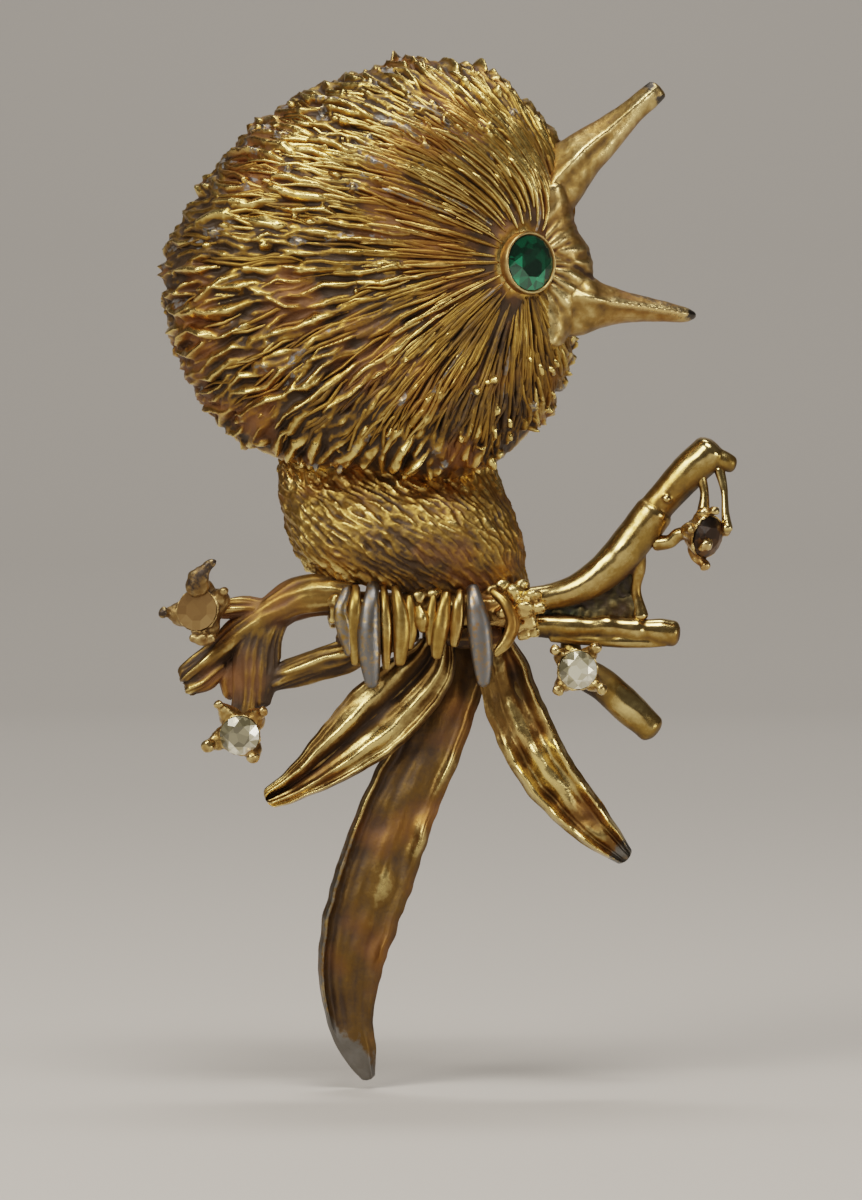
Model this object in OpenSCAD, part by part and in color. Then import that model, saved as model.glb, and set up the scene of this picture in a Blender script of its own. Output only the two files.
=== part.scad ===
// Figural bird brooch: a round fluffy-headed bird gripping a forked twig, cast pieces soldered
// together, with four small stones, a stone eye, and a hinged pin with a turning safety catch behind.
// Millimetres. The origin is the middle of the pin stem, +Z is the bird's up, the front faces -Y.

/* [Head] */
// Width of the head dome
head_w = 29.7; // [24:0.1:36]
// Height of the head dome
head_h = 30.6; // [24:0.1:36]
// Depth of the dome in front of its rim
head_dome = 8.4; // [6.5:0.1:11]
// Wall of the hollow head
head_wall = 1.3; // [0.9:0.1:1.8]
// Feather locks counted round the head
lock_count = 32; // [20:2:36]
// Rows of feather locks between the eye and the rim
lock_rows = 5; // [3:1:6]
// Height of a lock's tip above the dome
lock_relief = 0.85; // [0.3:0.05:1]
// How far the rim is lifted where the neck passes under it
neck_lift = 2.8; // [2.2:0.1:3.4]

/* [Eye] */
// Eye centre in from the head's right edge
eye_inset = 2.95; // [2.8:0.05:5]
// Eye centre above the head's middle
eye_rise = 0.4; // [-2:0.1:3]
// Diameter of the eye stone
eye_d = 4; // [3:0.1:4.6]
// Wall of the eye's bezel
eye_wall = 0.32; // [0.2:0.02:0.5]
// Height of the eye's bezel
eye_cup_h = 1; // [0.8:0.05:1.4]
// Turn of the eye away from straight ahead
eye_turn = 36; // [25:1:45]

/* [Beak] */
// Length of the upper beak from the face to its tip
upper_beak_len = 9.9; // [7:0.1:14]
// Rise of the upper beak above level
upper_beak_rise = 45; // [35:1:60]
// Length of the lower beak from the face to its tip
lower_beak_len = 9.2; // [6:0.1:12]
// Droop of the lower beak below level
lower_beak_droop = 7; // [0:1:20]
// Thickness of a beak half at its root, front to back
beak_depth = 4.4; // [3.5:0.1:5]
// Height of the upper beak's root on the face
upper_root_h = 7.9; // [6:0.1:8.5]
// Height of the lower beak's root on the face
lower_root_h = 5.1; // [3.5:0.1:6]

/* [Body] */
// Half width of the breast
body_half = 8.4; // [6.5:0.1:9.5]
// Height of the body below the head
body_h = 8.3; // [6.5:0.1:11]
// Depth of the breast in front of the back plane
body_depth = 6.2; // [5:0.1:8]
// Wall of the hollow body
body_wall = 1.3; // [0.9:0.1:1.8]
// Sideways lean of the body from neck to feet
body_lean = 2.5; // [0:0.1:4]
// Height of the fur tufts on the breast
tuft_relief = 0.4; // [0.1:0.05:0.6]
// How much higher the breast's lower edge is on its left
skirt_rise = 1.7; // [0:0.1:2.5]

/* [Perch and feet] */
// Thickness of the perch under the feet
perch_d = 2.9; // [2.2:0.1:3.6]
// Left end of the perch
perch_left = -2.6; // [-3.4:0.1:-2.4]
// Right end of the perch
perch_right = 12.4; // [12:0.1:14]
// Depth of the perch's axis in front of the back plane
perch_depth = 2.9; // [2.7:0.1:4]
// Thickness of a toe, front to back
toe_t = 1.4; // [1:0.1:1.8]
// Half width of a middle toe
toe_half = 1.1; // [0.8:0.05:1.2]
// Reach of a middle toe below the perch's axis
toe_drop = 5.3; // [3.5:0.1:6.5]

/* [Twigs] */
// Thickness of the left limb at its root
left_limb_d = 2.8; // [2:0.1:3.2]
// Thickness of the right upper limb
right_limb_d = 2.7; // [2:0.1:3]
// Thickness of the right lower limb
lower_limb_d = 2.0; // [1.6:0.1:2.2]
// Thickness of the thin web between the right limbs
web_t = 0.8; // [0.5:0.05:1]
// Thickness of the small twigs that carry the stones
twig_d = 1.8; // [1.4:0.1:2.2]

/* [Tail] */
// Length of the long tail feather below the perch
tail_len = 34.8; // [24:0.2:42]
// Half width of the long tail feather
tail_half = 2.9; // [2:0.1:3.4]
// Length of the left tail feather
left_feather_len = 16; // [10:0.2:20]
// Length of the right tail feather
right_feather_len = 19.5; // [12:0.2:24]
// Half width of the two short feathers
short_feather_half = 2.05; // [1.4:0.05:2.4]
// Thickness of the feathers
feather_t = 1.1; // [0.8:0.05:1.3]

/* [Stones] */
// Diameter of the four small stones
stone_d = 2.7; // [2:0.1:3]
// Wall of a stone setting
cup_wall = 0.36; // [0.25:0.01:0.5]
// Height of a stone setting
cup_h = 1.9; // [1.6:0.1:2.4]
// Reach of a prong tip from the setting's axis
prong_reach = 2.35; // [2.1:0.05:2.6]
// Diameter of a prong's ball tip
prong_d = 0.84; // [0.6:0.02:1]

/* [Pin and catch] */
// Diameter of the pin stem
stem_d = 0.9; // [0.7:0.02:1.1]
// Length of the round part of the pin stem
stem_len = 18.6; // [15:0.1:20]
// Length of the sharpened point
point_len = 4; // [3.6:0.1:5]
// Height of the pin's axis above the bar
pin_height = 2.2; // [2:0.05:3]
// Thickness of the bar on the back
bar_t = 0.9; // [0.6:0.05:1.4]
// Width of the bar on the back
bar_w = 3.6; // [3:0.1:5]
// Diameter of the hinge rivet
rivet_d = 0.8; // [0.6:0.02:1]
// Outer diameter of the pin's hinge eye
hinge_eye_d = 2.1; // [1.8:0.05:2.4]
// Thickness of a hinge ear
ear_t = 0.5; // [0.4:0.05:0.8]
// Diameter of the catch's turning drum
drum_d = 3.1; // [2.9:0.05:3.4]
// Length of the catch's turning drum
drum_len = 1.6; // [1.2:0.1:2]
// Thickness of a catch cheek
cheek_t = 0.45; // [0.35:0.05:0.7]
// Width of the slot that lets the pin into the catch
slot_w = 1.24; // [1.1:0.02:1.4]
// Reach of the thumb tab from the catch's axis
tab_reach = 3; // [2.4:0.1:3.6]

/* [Fits] */
// Gap left for solder between cast pieces
solder_gap = 0.06; // [0.03:0.01:0.15]
// Radial clearance of a turning fit
turn_gap = 0.04; // [0.02:0.005:0.08]
// Side clearance of a turning piece
side_gap = 0.06; // [0.04:0.01:0.12]
// Clearance round a stone in its setting
stone_gap = 0.04; // [0.02:0.01:0.08]

/* [Hidden] */

$fn = 48;

// The back plane, where the castings end and the bar begins
back_y = -pin_height - bar_t;
// Half sizes of the dome and its lowest point
head_rx = head_w / 2;
head_rz = head_h / 2;
head_low = -head_rz;
// The eye's place on the dome
eye_x = head_rx - eye_inset;
eye_z = eye_rise;
eye_r = eye_d / 2 + stone_gap + eye_wall;
// The perch's axis
body_low = head_low - body_h;
perch_r = perch_d / 2;
perch_y = back_y - perch_depth;
perch_z = body_low - solder_gap - perch_r;
// The stone settings
stone_r = stone_d / 2;
cup_r = stone_r + stone_gap + cup_wall;
twig_r = twig_d / 2;
// The hinge and the catch along the pin
stem_half = stem_len / 2;
hinge_x = stem_half + hinge_eye_d / 2 + 0.65;
cheek_gap = drum_len + 2 * side_gap;
catch_x = -stem_half - 0.4 - cheek_t - cheek_gap / 2;
// Colours of the castings, the findings and the stones
gold = [0.80, 0.62, 0.26];
brass = [0.72, 0.58, 0.30];
green = [0.05, 0.45, 0.22];
clear = [0.86, 0.90, 0.92];
amber = [0.45, 0.35, 0.18];

function lerp(a, b, t) = a + (b - a) * t;
function unit(v) = v / norm(v);
function xyz(p) = [p[0], p[1], p[2]];
function clamp01(t) = min(1, max(0, t));
function ease(t) = let (u = clamp01(t)) u * u * (3 - 2 * u);

// A smooth curve through control points, any number of components each
function curve_at(a, b, c, d, t) = 0.5 * (2 * b + (c - a) * t + (2 * a - 5 * b + 4 * c - d) * t * t
    + (3 * b - a - 3 * c + d) * t * t * t);
function curve(p, steps) = let (n = len(p) - 1) concat(
    [for (i = [0 : n - 1], s = [0 : steps - 1])
        curve_at(p[max(i - 1, 0)], p[i], p[i + 1], p[min(i + 2, n)], s / steps)], [p[n]]);
function heading(p, i) = unit(xyz(p[min(i + 1, len(p) - 1)]) - xyz(p[max(i - 1, 0)]));

// A solid skinned over equal rings; the ends are fans, or strips for a crescent section
module loft(rings, crescent = false) {
    n = len(rings[0]);
    m = len(rings);
    middle_first = [for (k = [0 : 2]) [for (p = rings[0]) 1] * [for (p = rings[0]) p[k]] / n];
    middle_last = [for (k = [0 : 2]) [for (p = rings[m - 1]) 1] * [for (p = rings[m - 1]) p[k]] / n];
    last = (m - 1) * n;
    sides = [for (i = [0 : m - 2], j = [0 : n - 1], h = [0, 1])
        let (k = (j + 1) % n, a = i * n + j, b = i * n + k, c = a + n, d = b + n)
        h == 0 ? [a, c, b] : [b, c, d]];
    fans = [for (j = [0 : n - 1], h = [0, 1]) let (k = (j + 1) % n)
        h == 0 ? [m * n, j, k] : [m * n + 1, last + k, last + j]];
    strips = [for (j = [0 : n / 2 - 2], h = [0 : 3]) let (a = j, b = j + 1, c = n - 1 - j, d = n - 2 - j)
        h == 0 ? [a, b, c] : h == 1 ? [b, d, c] : h == 2 ? [last + b, last + a, last + c]
        : [last + d, last + b, last + c]];
    polyhedron(concat([for (r = rings) each r], crescent ? [] : [middle_first, middle_last]),
        concat(sides, crescent ? strips : fans));
}

function ring_at(p, t, ref, w, h, n) = let (s = unit(cross(t, ref)), u = cross(t, s))
    [for (k = [0 : n - 1]) p + s * w * cos(360 * k / n) + u * h * sin(360 * k / n)];

// Rings of a tapering twig or toe; each control point is x, y, z and radius
function tube_rings(points, n, steps, ref, grow, flat, round_start, round_end) =
    let (p = curve(points, steps), m = len(p) - 1, t0 = heading(points, 0),
        t1 = heading(points, len(points) - 1), r0 = p[0][3] + grow, r1 = p[m][3] + grow)
    concat(
        round_start ? [for (a = [78, 50, 25])
            ring_at(xyz(p[0]) - t0 * r0 * sin(a), t0, ref, r0 * cos(a), r0 * flat * cos(a), n)] : [],
        [for (i = [0 : m]) ring_at(xyz(p[i]), i == 0 ? t0 : i == m ? t1 : heading(p, i), ref, p[i][3] + grow,
            (p[i][3] + grow) * flat, n)],
        round_end ? [for (a = [25, 50, 78])
            ring_at(xyz(p[m]) + t1 * r1 * sin(a), t1, ref, r1 * cos(a), r1 * flat * cos(a), n)] : []);

module tube(points, n = 10, steps = 3, ref = [0, 1, 0], grow = 0, flat = 1,
        round_start = false, round_end = true) {
    loft(tube_rings(points, n, steps, ref, grow, flat, round_start, round_end));
}

// Turns a piece built along +Z so that it points along a direction
module aim(base, axis) {
    translate(base) rotate([0, acos(axis[2]), atan2(axis[1], axis[0])]) children();
}

// Outline of the head against an ellipse, every 30 degrees round from the right: flat at the crown's
// back, full below the beak
head_shape = [1.02, 1.11, 1.09, 0.93, 0.86, 0.86, 0.97, 1.0, 1.02, 0.98, 1.13, 1.1];
function shape_at(a) = let (n = len(head_shape), u = ((a % 360) + 360) % 360 * n / 360, i = floor(u))
    curve_at(head_shape[(i + n - 1) % n], head_shape[i % n], head_shape[(i + 1) % n], head_shape[(i + 2) % n],
        u - i);
function rim_at(b, rx, rz) = shape_at(b) * [rx * cos(b), rz * sin(b)];
// The dome: depth at a share of the way to the rim, and its width at a height and depth
function dome_depth(x, z, rx, rz, dome) =
    let (q = norm([x / rx, z / rz]) / shape_at(atan2(z / rz, x / rx)))
    dome * pow(max(0, 1 - q * q * q), 0.4);
function dome_x(z, depth, b = 0, tries = 5) =
    let (q = shape_at(b) * pow(max(0, 1 - pow(clamp01(depth / head_dome), 2.5)), 1 / 3),
        x = sqrt(max(0.01, q * q - z * z / (head_rz * head_rz))))
    tries == 0 ? head_rx * x : dome_x(z, depth, atan2(z / head_rz, x), tries - 1);
// The rim is lifted over the neck
function lift_at(x, z) = neck_lift * ease((46 - abs(atan2(x - 1.8, -z))) / 12) * (z < 0 ? 1 : 0);
// Feathers sweep from the eye back to the rim; a is the direction at the eye, t the way to the rim
rim_above = [[0, 0], [30, 42], [60, 76], [90, 101], [120, 124], [150, 149], [180, 180]];
rim_below = [[0, 0], [30, 8], [60, 24], [90, 46], [120, 76], [150, 108], [165, 140], [180, 180]];
function rim_turn(a) = a <= 180 ? lookup(a, rim_above) : 360 - lookup(360 - a, rim_below);
function eye_side(b) = b <= 180 ? lookup(b, [for (p = rim_above) [p[1], p[0]]])
    : 360 - lookup(360 - b, [for (p = rim_below) [p[1], p[0]]]);
function sweep_xz(a, t) =
    let (e = [eye_x + eye_plate * cos(eye_turn) * cos(a), eye_z + eye_plate * sin(a)],
        o = rim_at(rim_turn(a), head_rx, head_rz),
        c = e + 0.33 * norm(o - e) * [cos(a), sin(a)])
    e * (1 - t) * (1 - t) + c * 2 * t * (1 - t) + o * t * t;
eye_plate = eye_r + 0.3;
eye_base = dome_depth(eye_x, eye_z, head_rx, head_rz, head_dome) + 0.1;
// Height of the feather locks: each row rises to its tips and the next row starts low, half a lock on;
// the rows near the eye are finer
function lock_at(k, row, s) = let (f = (k + 2 * (row % 2)) % 4, rise = f == 0 ? 0 : f == 2 ? 1 : 0.72)
    lock_relief * lerp(0.55, 1, row / (lock_rows - 1)) * (0.35 + 0.65 * (0.2 + 0.8 * s) * rise);
function face_fade(a) = ease(a < 180 ? (a - 34) / 22 : (360 - a - 44) / 20);
function on_dome(x, z, rx, rz, dome) = let (d = dome_depth(x, z, rx, rz, dome), l = lift_at(x, z))
    [x, back_y - sqrt(d * d + l * l), z];
function raised(p, h) = let (c = [1, back_y, 0]) p + unit(p - c) * h;

module head_shell() {
    n = lock_count * 4;
    angles = [for (k = [0 : n - 1]) eye_side(360 - 360 * k / n)];
    eye_ring = [for (a = angles) let (dx = eye_plate * cos(eye_turn) * cos(a))
        [eye_x + dx, back_y - eye_base + dx * tan(eye_turn), eye_z + eye_plate * sin(a)]];
    outer = [for (row = [0 : lock_rows - 1], s = [0.04, 0.55, 1])
        [for (k = [0 : n - 1]) let (a = angles[k], t = (row + s) / lock_rows, q = sweep_xz(a, t))
            raised(on_dome(q[0], q[1], head_rx, head_rz, head_dome),
                lock_at(k, row, s) * face_fade(a))]];
    in_x = head_rx - head_wall;
    in_z = head_rz - head_wall;
    inner = [for (t = [1, 0.94, 0.8, 0.5, 0.12])
        [for (a = angles) let (q = rim_at(rim_turn(a), in_x, in_z) * t)
            on_dome(q[0], q[1], in_x, in_z, head_dome - head_wall)]];
    color(gold) loft(concat([eye_ring], outer, inner));
}

// The eye: a rub-over bezel on the flat beside the beak, and a faceted flat-backed stone
eye_axis = [sin(eye_turn), -cos(eye_turn), 0];
eye_seat = [eye_x, back_y - eye_base, eye_z] + eye_axis * solder_gap;

module eye_bezel() {
    color(gold) aim(eye_seat, eye_axis) difference() {
        cylinder(r = eye_r, h = eye_cup_h);
        translate([0, 0, 0.35]) cylinder(r = eye_d / 2 + stone_gap, h = eye_cup_h);
    }
}

module cut_stone(r, back_r, below, above) {
    hull() {
        translate([0, 0, above - 0.01]) rotate(22.5) cylinder(r = r * 0.56, h = 0.01, $fn = 8);
        cylinder(r = r, h = 0.12, $fn = 16);
        translate([0, 0, -below]) cylinder(r = back_r, h = 0.01, $fn = 8);
    }
}

module eye_stone() {
    color(green) aim(eye_seat + eye_axis * 0.85, eye_axis) cut_stone(eye_d / 2, eye_d * 0.3, 0.5, 0.95);
}

// The beak halves: each root ring lies on the dome, the rest tapers to a blunt tip
beak_mid = 1.1 + beak_depth / 2;
bezel_x = eye_x + eye_plate * cos(eye_turn) + eye_cup_h * sin(eye_turn);
function beak_root(z0, z1, n, share) = [for (k = [0 : n - 1])
    let (a = 360 * k / n, z = lerp(z0, z1, 0.5 + 0.5 * share * cos(a)),
        d = beak_mid + beak_depth / 2 * share * sin(a))
    [max(dome_x(z, d), bezel_x - 0.9 * max(0, abs(z - eye_z) - eye_r)) + 0.3
        + 0.7 * lock_relief * ease((abs(z - eye_z) - 2.4) / 2) + solder_gap, back_y - d, z]];
// Stations are the share of the length, the half height and the share of the depth; the middle line
// runs from the root's middle to a line of its own within the first third
function beak_rings(z0, z1, line_z, length, rise, stations, n) =
    let (zc = (z0 + z1) / 2, tip = [cos(rise), 0, sin(rise)])
    concat([for (share = [0.3, 0.65, 1]) beak_root(z0, z1, n, share)],
        [for (s = stations)
            let (t = unit(lerp([1, 0, 0], tip, ease(s[0] * 2.6))), u = [-t[2], 0, t[0]],
                c = [head_rx, back_y - beak_mid + 0.7 * s[0], lerp(zc, line_z, ease(s[0] * 3))]
                    + tip * length * s[0])
            [for (k = [0 : n - 1]) let (a = 360 * k / n)
                c + u * s[1] * cos(a) - [0, beak_depth / 2 * s[2] * sin(a), 0]]]);

module upper_beak() {
    h = upper_root_h / 7.9;
    color(gold) loft(beak_rings(eye_z + 0.3, eye_z + 0.3 + upper_root_h, eye_z + 0.3 + 5.85 * h,
        upper_beak_len, upper_beak_rise, [[0.12, 2.5 * h, 0.92], [0.22, 1.6 * h, 0.82],
        [0.34, 1.2 * h, 0.66], [0.56, 1.02 * h, 0.5], [0.8, 0.87 * h, 0.4],
        [0.94, 0.78 * h, 0.34], [1, 0.5 * h, 0.24]], 14));
}

module lower_beak() {
    h = lower_root_h / 5.1;
    color(gold) loft(beak_rings(eye_z + 0.06 - lower_root_h, eye_z + 0.06, eye_z + 0.06 - lower_root_h / 2,
        lower_beak_len, -lower_beak_droop, [[0.12, 2.2 * h, 0.92], [0.25, 1.72 * h, 0.8],
        [0.43, 1.2 * h, 0.62], [0.66, 0.78 * h, 0.46], [0.86, 0.58 * h, 0.3], [0.96, 0.46 * h, 0.22],
        [1, 0.28 * h, 0.14]], 14));
}

// The body: a hollow breast casting, open behind, whose neck tucks under the head's lifted rim. Its half
// width and its depth are shares that depend on the way down from the head's lowest point
body_halves = [[-3.7, 0.78], [-1.8, 0.88], [0.9, 0.94], [1.7, 0.98], [2.5, 0.99], [3.6, 1], [4.6, 1],
    [5.6, 0.98], [6.5, 0.95], [8.3, 0.93]];
body_depths = [[-3.7, 0.39], [-1.8, 0.4], [0.9, 0.41], [1.7, 0.62], [2.5, 0.82], [3.6, 0.96], [4.6, 1],
    [5.6, 1], [6.5, 0.92], [7.3, 0.78], [8.3, 0.6]];
neck_way = 0.9;
body_way = 8.3;
body_steps = 28;
// Fur tufts slant down to the right, a third of them high
function tuft_at(k, row) = let (f = (k + 2 * row) % 3) tuft_relief * (f == 1 ? 1 : f == 2 ? 0.45 : 0);
function skirt_at(a) = ease((a / 180 - 0.45) / 0.5);
function body_ring(z, rise, cx, half, depth, inner, tufts) = concat(
    [for (k = [0 : body_steps]) let (a = 180 * k / body_steps, high = tufts[k] * sin(a))
        [cx + (half + high) * cos(a), back_y - max(0.02, (depth + high) * pow(sin(a), 0.8)),
            z + rise * skirt_at(a)]],
    [for (k = [body_steps : -1 : 0]) let (a = 180 * k / body_steps)
        [cx + (half - body_wall) * cos(a), back_y - max(0, inner * pow(sin(a), 0.8)),
            z + rise * skirt_at(a)]]);

module body_shell() {
    // Way down, share of the hollow, and whether the row has fur
    rows = [[-3.7, 0.6, 0], [-1.8, 0.6, 0], [neck_way, 0.6, 0], [1.5, 1, 1], [2.2, 1, 1], [2.9, 1, 1],
        [3.6, 1, 1], [4.3, 1, 1], [5, 1, 1], [5.7, 1, 1], [6.4, 1, 1], [7.3, 1, 1], [7.45, 0, 1],
        [body_way, 0, 0]];
    color(gold) loft([for (i = [0 : len(rows) - 1])
        let (r = rows[i], depth = body_depth * lookup(r[0], body_depths), share = max(0, r[0]) / body_way,
            fall = (r[0] - neck_way) / (body_way - neck_way),
            z = head_low - (fall < 0 ? r[0] : lerp(neck_way, body_h, fall)))
        body_ring(z, skirt_rise * ease((r[0] - 2) / (body_way - 2)), 1.5 + body_lean * share,
            body_half * lookup(r[0], body_halves), depth, max(0, (depth - body_wall) * r[1]),
            [for (k = [0 : body_steps]) r[2] * tuft_at(k, i)])],
        crescent = true);
}

// The feet: three toes each, bent over the perch and joined across its top
function toe_points(x, half, drop, splay) = let (r = perch_r + solder_gap + toe_t / 2)
    concat([for (f = [52, 70, 88]) [x, perch_y - r * sin(f), perch_z + r * cos(f),
            half * lerp(0.6, 1, (f - 52) / 36)]],
        [for (s = [0.35, 0.7, 1]) [x + splay * s, perch_y - r - 0.15 * sin(180 * s), perch_z - drop * s,
            half * lerp(1.02, 0.42, s * s)]]);

module toe(x, half, drop, splay) {
    tube(toe_points(x, half, drop - half * 0.42, splay), 8, 2, [0, -1, -0.7], 0, toe_t / 2 / half, true,
        true);
}

module foot(xs, halves, drops, splays) {
    r = perch_r + solder_gap + toe_t / 2;
    for (i = [0 : 2]) toe(xs[i], halves[i], drops[i], splays[i]);
    tube([for (x = [xs[0], xs[1], xs[2]]) [x, perch_y - r * sin(58), perch_z + r * cos(58), toe_t * 0.42]],
        8, 2, [0, 1, 0], 0, 1, true, true);
}

module left_foot() {
    color(gold) foot([-1.5, 0.55, 2.35], [toe_half * 0.6, toe_half, toe_half * 0.56],
        [toe_drop * 0.57, toe_drop, toe_drop * 0.77], [-0.25, 0, 0.1]);
}

module right_foot() {
    color(gold) foot([6, 8.3, 10.4], [toe_half * 0.6, toe_half, toe_half * 0.7],
        [toe_drop * 0.7, toe_drop, toe_drop * 0.6], [-0.1, 0.1, 0.3]);
}

module perch() {
    color(gold) tube([[perch_left, perch_y, perch_z, perch_r * 0.97], [1.5, perch_y, perch_z, perch_r * 0.94],
        [5, perch_y, perch_z, perch_r], [8.5, perch_y, perch_z, perch_r * 0.94],
        [perch_right, perch_y, perch_z, perch_r * 1.08]], 12, 3, [0, 1, 0], 0, 1, false, false);
}

// The stone settings sit on the twig ends; each has a base point and the way it faces
place_ul = [-11.7, back_y - 4, perch_z + 0.1];
axis_ul = unit([-0.25, -1, 0.1]);
place_ll = [-9.2, back_y - 4, perch_z - 9.0];
axis_ll = unit([-0.05, -1, -0.18]);
place_ur = [23.9, back_y - 4.4, perch_z + 5.7];
axis_ur = unit([0.6, -0.72, -0.35]);
place_lr = [perch_right + 3, back_y - 4.2, perch_z - 4.4];
axis_lr = unit([0.05, -1, 0]);
function behind(place, axis) = place - axis * (twig_r + solder_gap);

// Limbs and twigs as control points, so that the ones that meet can be cut to each other
left_r = left_limb_d / 2;
right_r = right_limb_d / 2;
lower_r = lower_limb_d / 2;
left_limb_points = [[perch_left - solder_gap, perch_y, perch_z + 0.15, left_r],
    [perch_left - 1.3, perch_y, perch_z + 0.15, left_r],
    [perch_left - 2.8, perch_y, perch_z + 0.4, left_r * 0.98],
    [perch_left - 4.8, perch_y, perch_z - 0.3, left_r],
    [perch_left - 6.9, perch_y + 0.2, perch_z - 2.3, left_r * 0.86],
    [perch_left - 8.9, perch_y + 0.4, perch_z - 4.1, left_r * 0.8],
    [perch_left - 10.3, perch_y + 0.5, perch_z - 5.0, left_r * 0.78]];
left_drop_points = [[perch_left - 4.7, perch_y, perch_z - 0.8, twig_r * 1.2],
    [perch_left - 4.8, perch_y, perch_z - 3.2, twig_r * 1.2],
    [perch_left - 5.3, perch_y, perch_z - 6.0, twig_r * 1.25],
    behind(place_ll, axis_ll) + [0, 0, 0.5]];
right_upper_points = [[perch_right + solder_gap, perch_y, perch_z + 0.75, right_r * 0.8],
    [perch_right + 1.2, perch_y, perch_z + 0.75, right_r * 0.8],
    [perch_right + 2.6, perch_y, perch_z + 1.35, right_r * 0.84],
    [perch_right + 5.0, perch_y - 0.2, perch_z + 2.7, right_r * 0.94],
    [perch_right + 7.6, perch_y - 0.4, perch_z + 5.4, right_r],
    [perch_right + 9.8, perch_y - 0.5, perch_z + 8.2, right_r * 1.04],
    [perch_right + 12.0, perch_y - 0.6, perch_z + 10.5, right_r * 1.09],
    [perch_right + 13.4, perch_y - 0.6, perch_z + 11.9, right_r * 1.1]];
right_lower_points = [[perch_right + solder_gap, perch_y, perch_z - 1.3, lower_r * 0.8],
    [perch_right + 1.2, perch_y, perch_z - 1.3, lower_r * 0.82],
    [perch_right + 2.8, perch_y, perch_z - 1.35, lower_r],
    [perch_right + 6.3, perch_y + 0.1, perch_z - 1.4, lower_r],
    [perch_right + 10.4, perch_y + 0.2, perch_z - 1.7, lower_r * 1.02]];

module left_limb() {
    color(gold) tube(left_limb_points, 12, 2);
}

module left_flower_twig() {
    end = behind(place_ul, axis_ul);
    color(gold) difference() {
        tube([[perch_left - 4.4, perch_y, perch_z + 0.2, twig_r],
            [perch_left - 6.6, perch_y, perch_z + 0.5, twig_r], [end[0], end[1], end[2], twig_r]]);
        tube(left_limb_points, 12, 2, grow = solder_gap);
    }
}

module left_drop_twig() {
    end = behind(place_ll, axis_ll);
    color(gold) difference() {
        tube([left_drop_points[0], left_drop_points[1], left_drop_points[2],
            [end[0], end[1], end[2], twig_r]]);
        tube(left_limb_points, 12, 2, grow = solder_gap);
    }
}

module left_under_twig() {
    end = behind(place_ll, axis_ll);
    color(gold) difference() {
        tube([[perch_left - 5.2, perch_y, perch_z - 5.4, twig_r],
            [perch_left - 2.2, perch_y, perch_z - 4.6, twig_r * 0.95],
            [perch_left + 1.6, perch_y, perch_z - 3.7, twig_r],
            [perch_left + 4, perch_y, perch_z - 1.2, twig_r]],
            round_end = false);
        tube([left_drop_points[0], left_drop_points[1], left_drop_points[2],
            [end[0], end[1], end[2], twig_r]], grow = solder_gap);
        translate([-20, perch_y, perch_z]) rotate([0, 90, 0]) cylinder(r = perch_r + solder_gap, h = 40);
    }
}

module right_upper_limb() {
    color(gold) tube(right_upper_points, 12, 2, round_end = false);
}

module right_flower_twig() {
    end = behind(place_ur, axis_ur);
    color(gold) difference() {
        tube([[perch_right + 8.2, perch_y - 0.4, perch_z + 6.2, twig_r],
            [perch_right + 9.8, perch_y - 0.3, perch_z + 5.9, twig_r],
            [end[0], end[1], end[2], twig_r * 0.98]]);
        tube(right_upper_points, 12, 2, round_end = false, grow = solder_gap);
    }
}

module right_lower_limb() {
    color(gold) {
        tube(right_lower_points, 12, 3);
        translate([perch_right, perch_y + web_t / 2, perch_z]) rotate([90, 0, 0]) linear_extrude(web_t)
            polygon([[2.9, -0.9], [4.3, 0.3], [5.9, 1.05], [7.6, -0.9]]);
    }
}

module right_hanging_twig() {
    seat = behind(place_lr, axis_lr);
    color(gold) difference() {
        tube([[perch_right + 1.0, perch_y, perch_z - 1.8, twig_r],
            [seat[0] - 0.9, seat[1], perch_z - 3.6, twig_r], [seat[0], seat[1], seat[2], twig_r],
            [perch_right + 5.0, seat[1], perch_z - 7.0, twig_r * 1.12],
            [perch_right + 8.6, seat[1], perch_z - 9.0, twig_r * 1.1]], 10, 3);
        tube(right_lower_points, 12, 3, grow = solder_gap);
        translate([-20, perch_y, perch_z]) rotate([0, 90, 0])
            cylinder(r = perch_r * 1.08 + solder_gap, h = 20 + perch_right + solder_gap);
    }
}

// A stone setting: a flared cup with a stepped seat and four ball-tipped prongs
module setting(base, axis, turn) {
    color(gold) aim(base, axis) difference() {
        union() {
            cylinder(r1 = cup_r * 0.58, r2 = cup_r, h = cup_h);
            for (a = [0 : 90 : 270]) rotate(a + turn) {
                translate([cup_r * 0.72, 0, cup_h * 0.42]) rotate([0, 40, 0])
                    cylinder(r1 = prong_d * 0.5, r2 = prong_d * 0.42,
                        h = (prong_reach - cup_r * 0.72) / sin(40));
                translate([prong_reach, 0, cup_h * 0.42 + (prong_reach - cup_r * 0.72) / tan(40)])
                    sphere(d = prong_d);
            }
        }
        translate([0, 0, cup_h - 0.45]) cylinder(r = stone_r + stone_gap, h = 2);
        translate([0, 0, 0.3]) cylinder(r1 = stone_r * 0.33, r2 = stone_r - 0.12, h = cup_h - 0.75 + 0.001);
    }
}

module small_stone(base, axis) {
    aim(base + axis * (cup_h - 0.3), axis) cut_stone(stone_r, stone_r * 0.3, cup_h * 0.52, 0.6);
}

module setting_upper_left() {
    setting(place_ul, axis_ul, 20);
}

module setting_lower_left() {
    setting(place_ll, axis_ll, 40);
}

module setting_upper_right() {
    setting(place_ur, axis_ur, 45);
}

module setting_lower_right() {
    setting(place_lr, axis_lr, 45);
}

module stone_upper_left() {
    color(amber) small_stone(place_ul, axis_ul);
}

module stone_lower_left() {
    color(clear) small_stone(place_ll, axis_ll);
}

module stone_upper_right() {
    color(amber) small_stone(place_ur, axis_ur);
}

module stone_lower_right() {
    color(clear) small_stone(place_lr, axis_lr);
}

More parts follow.
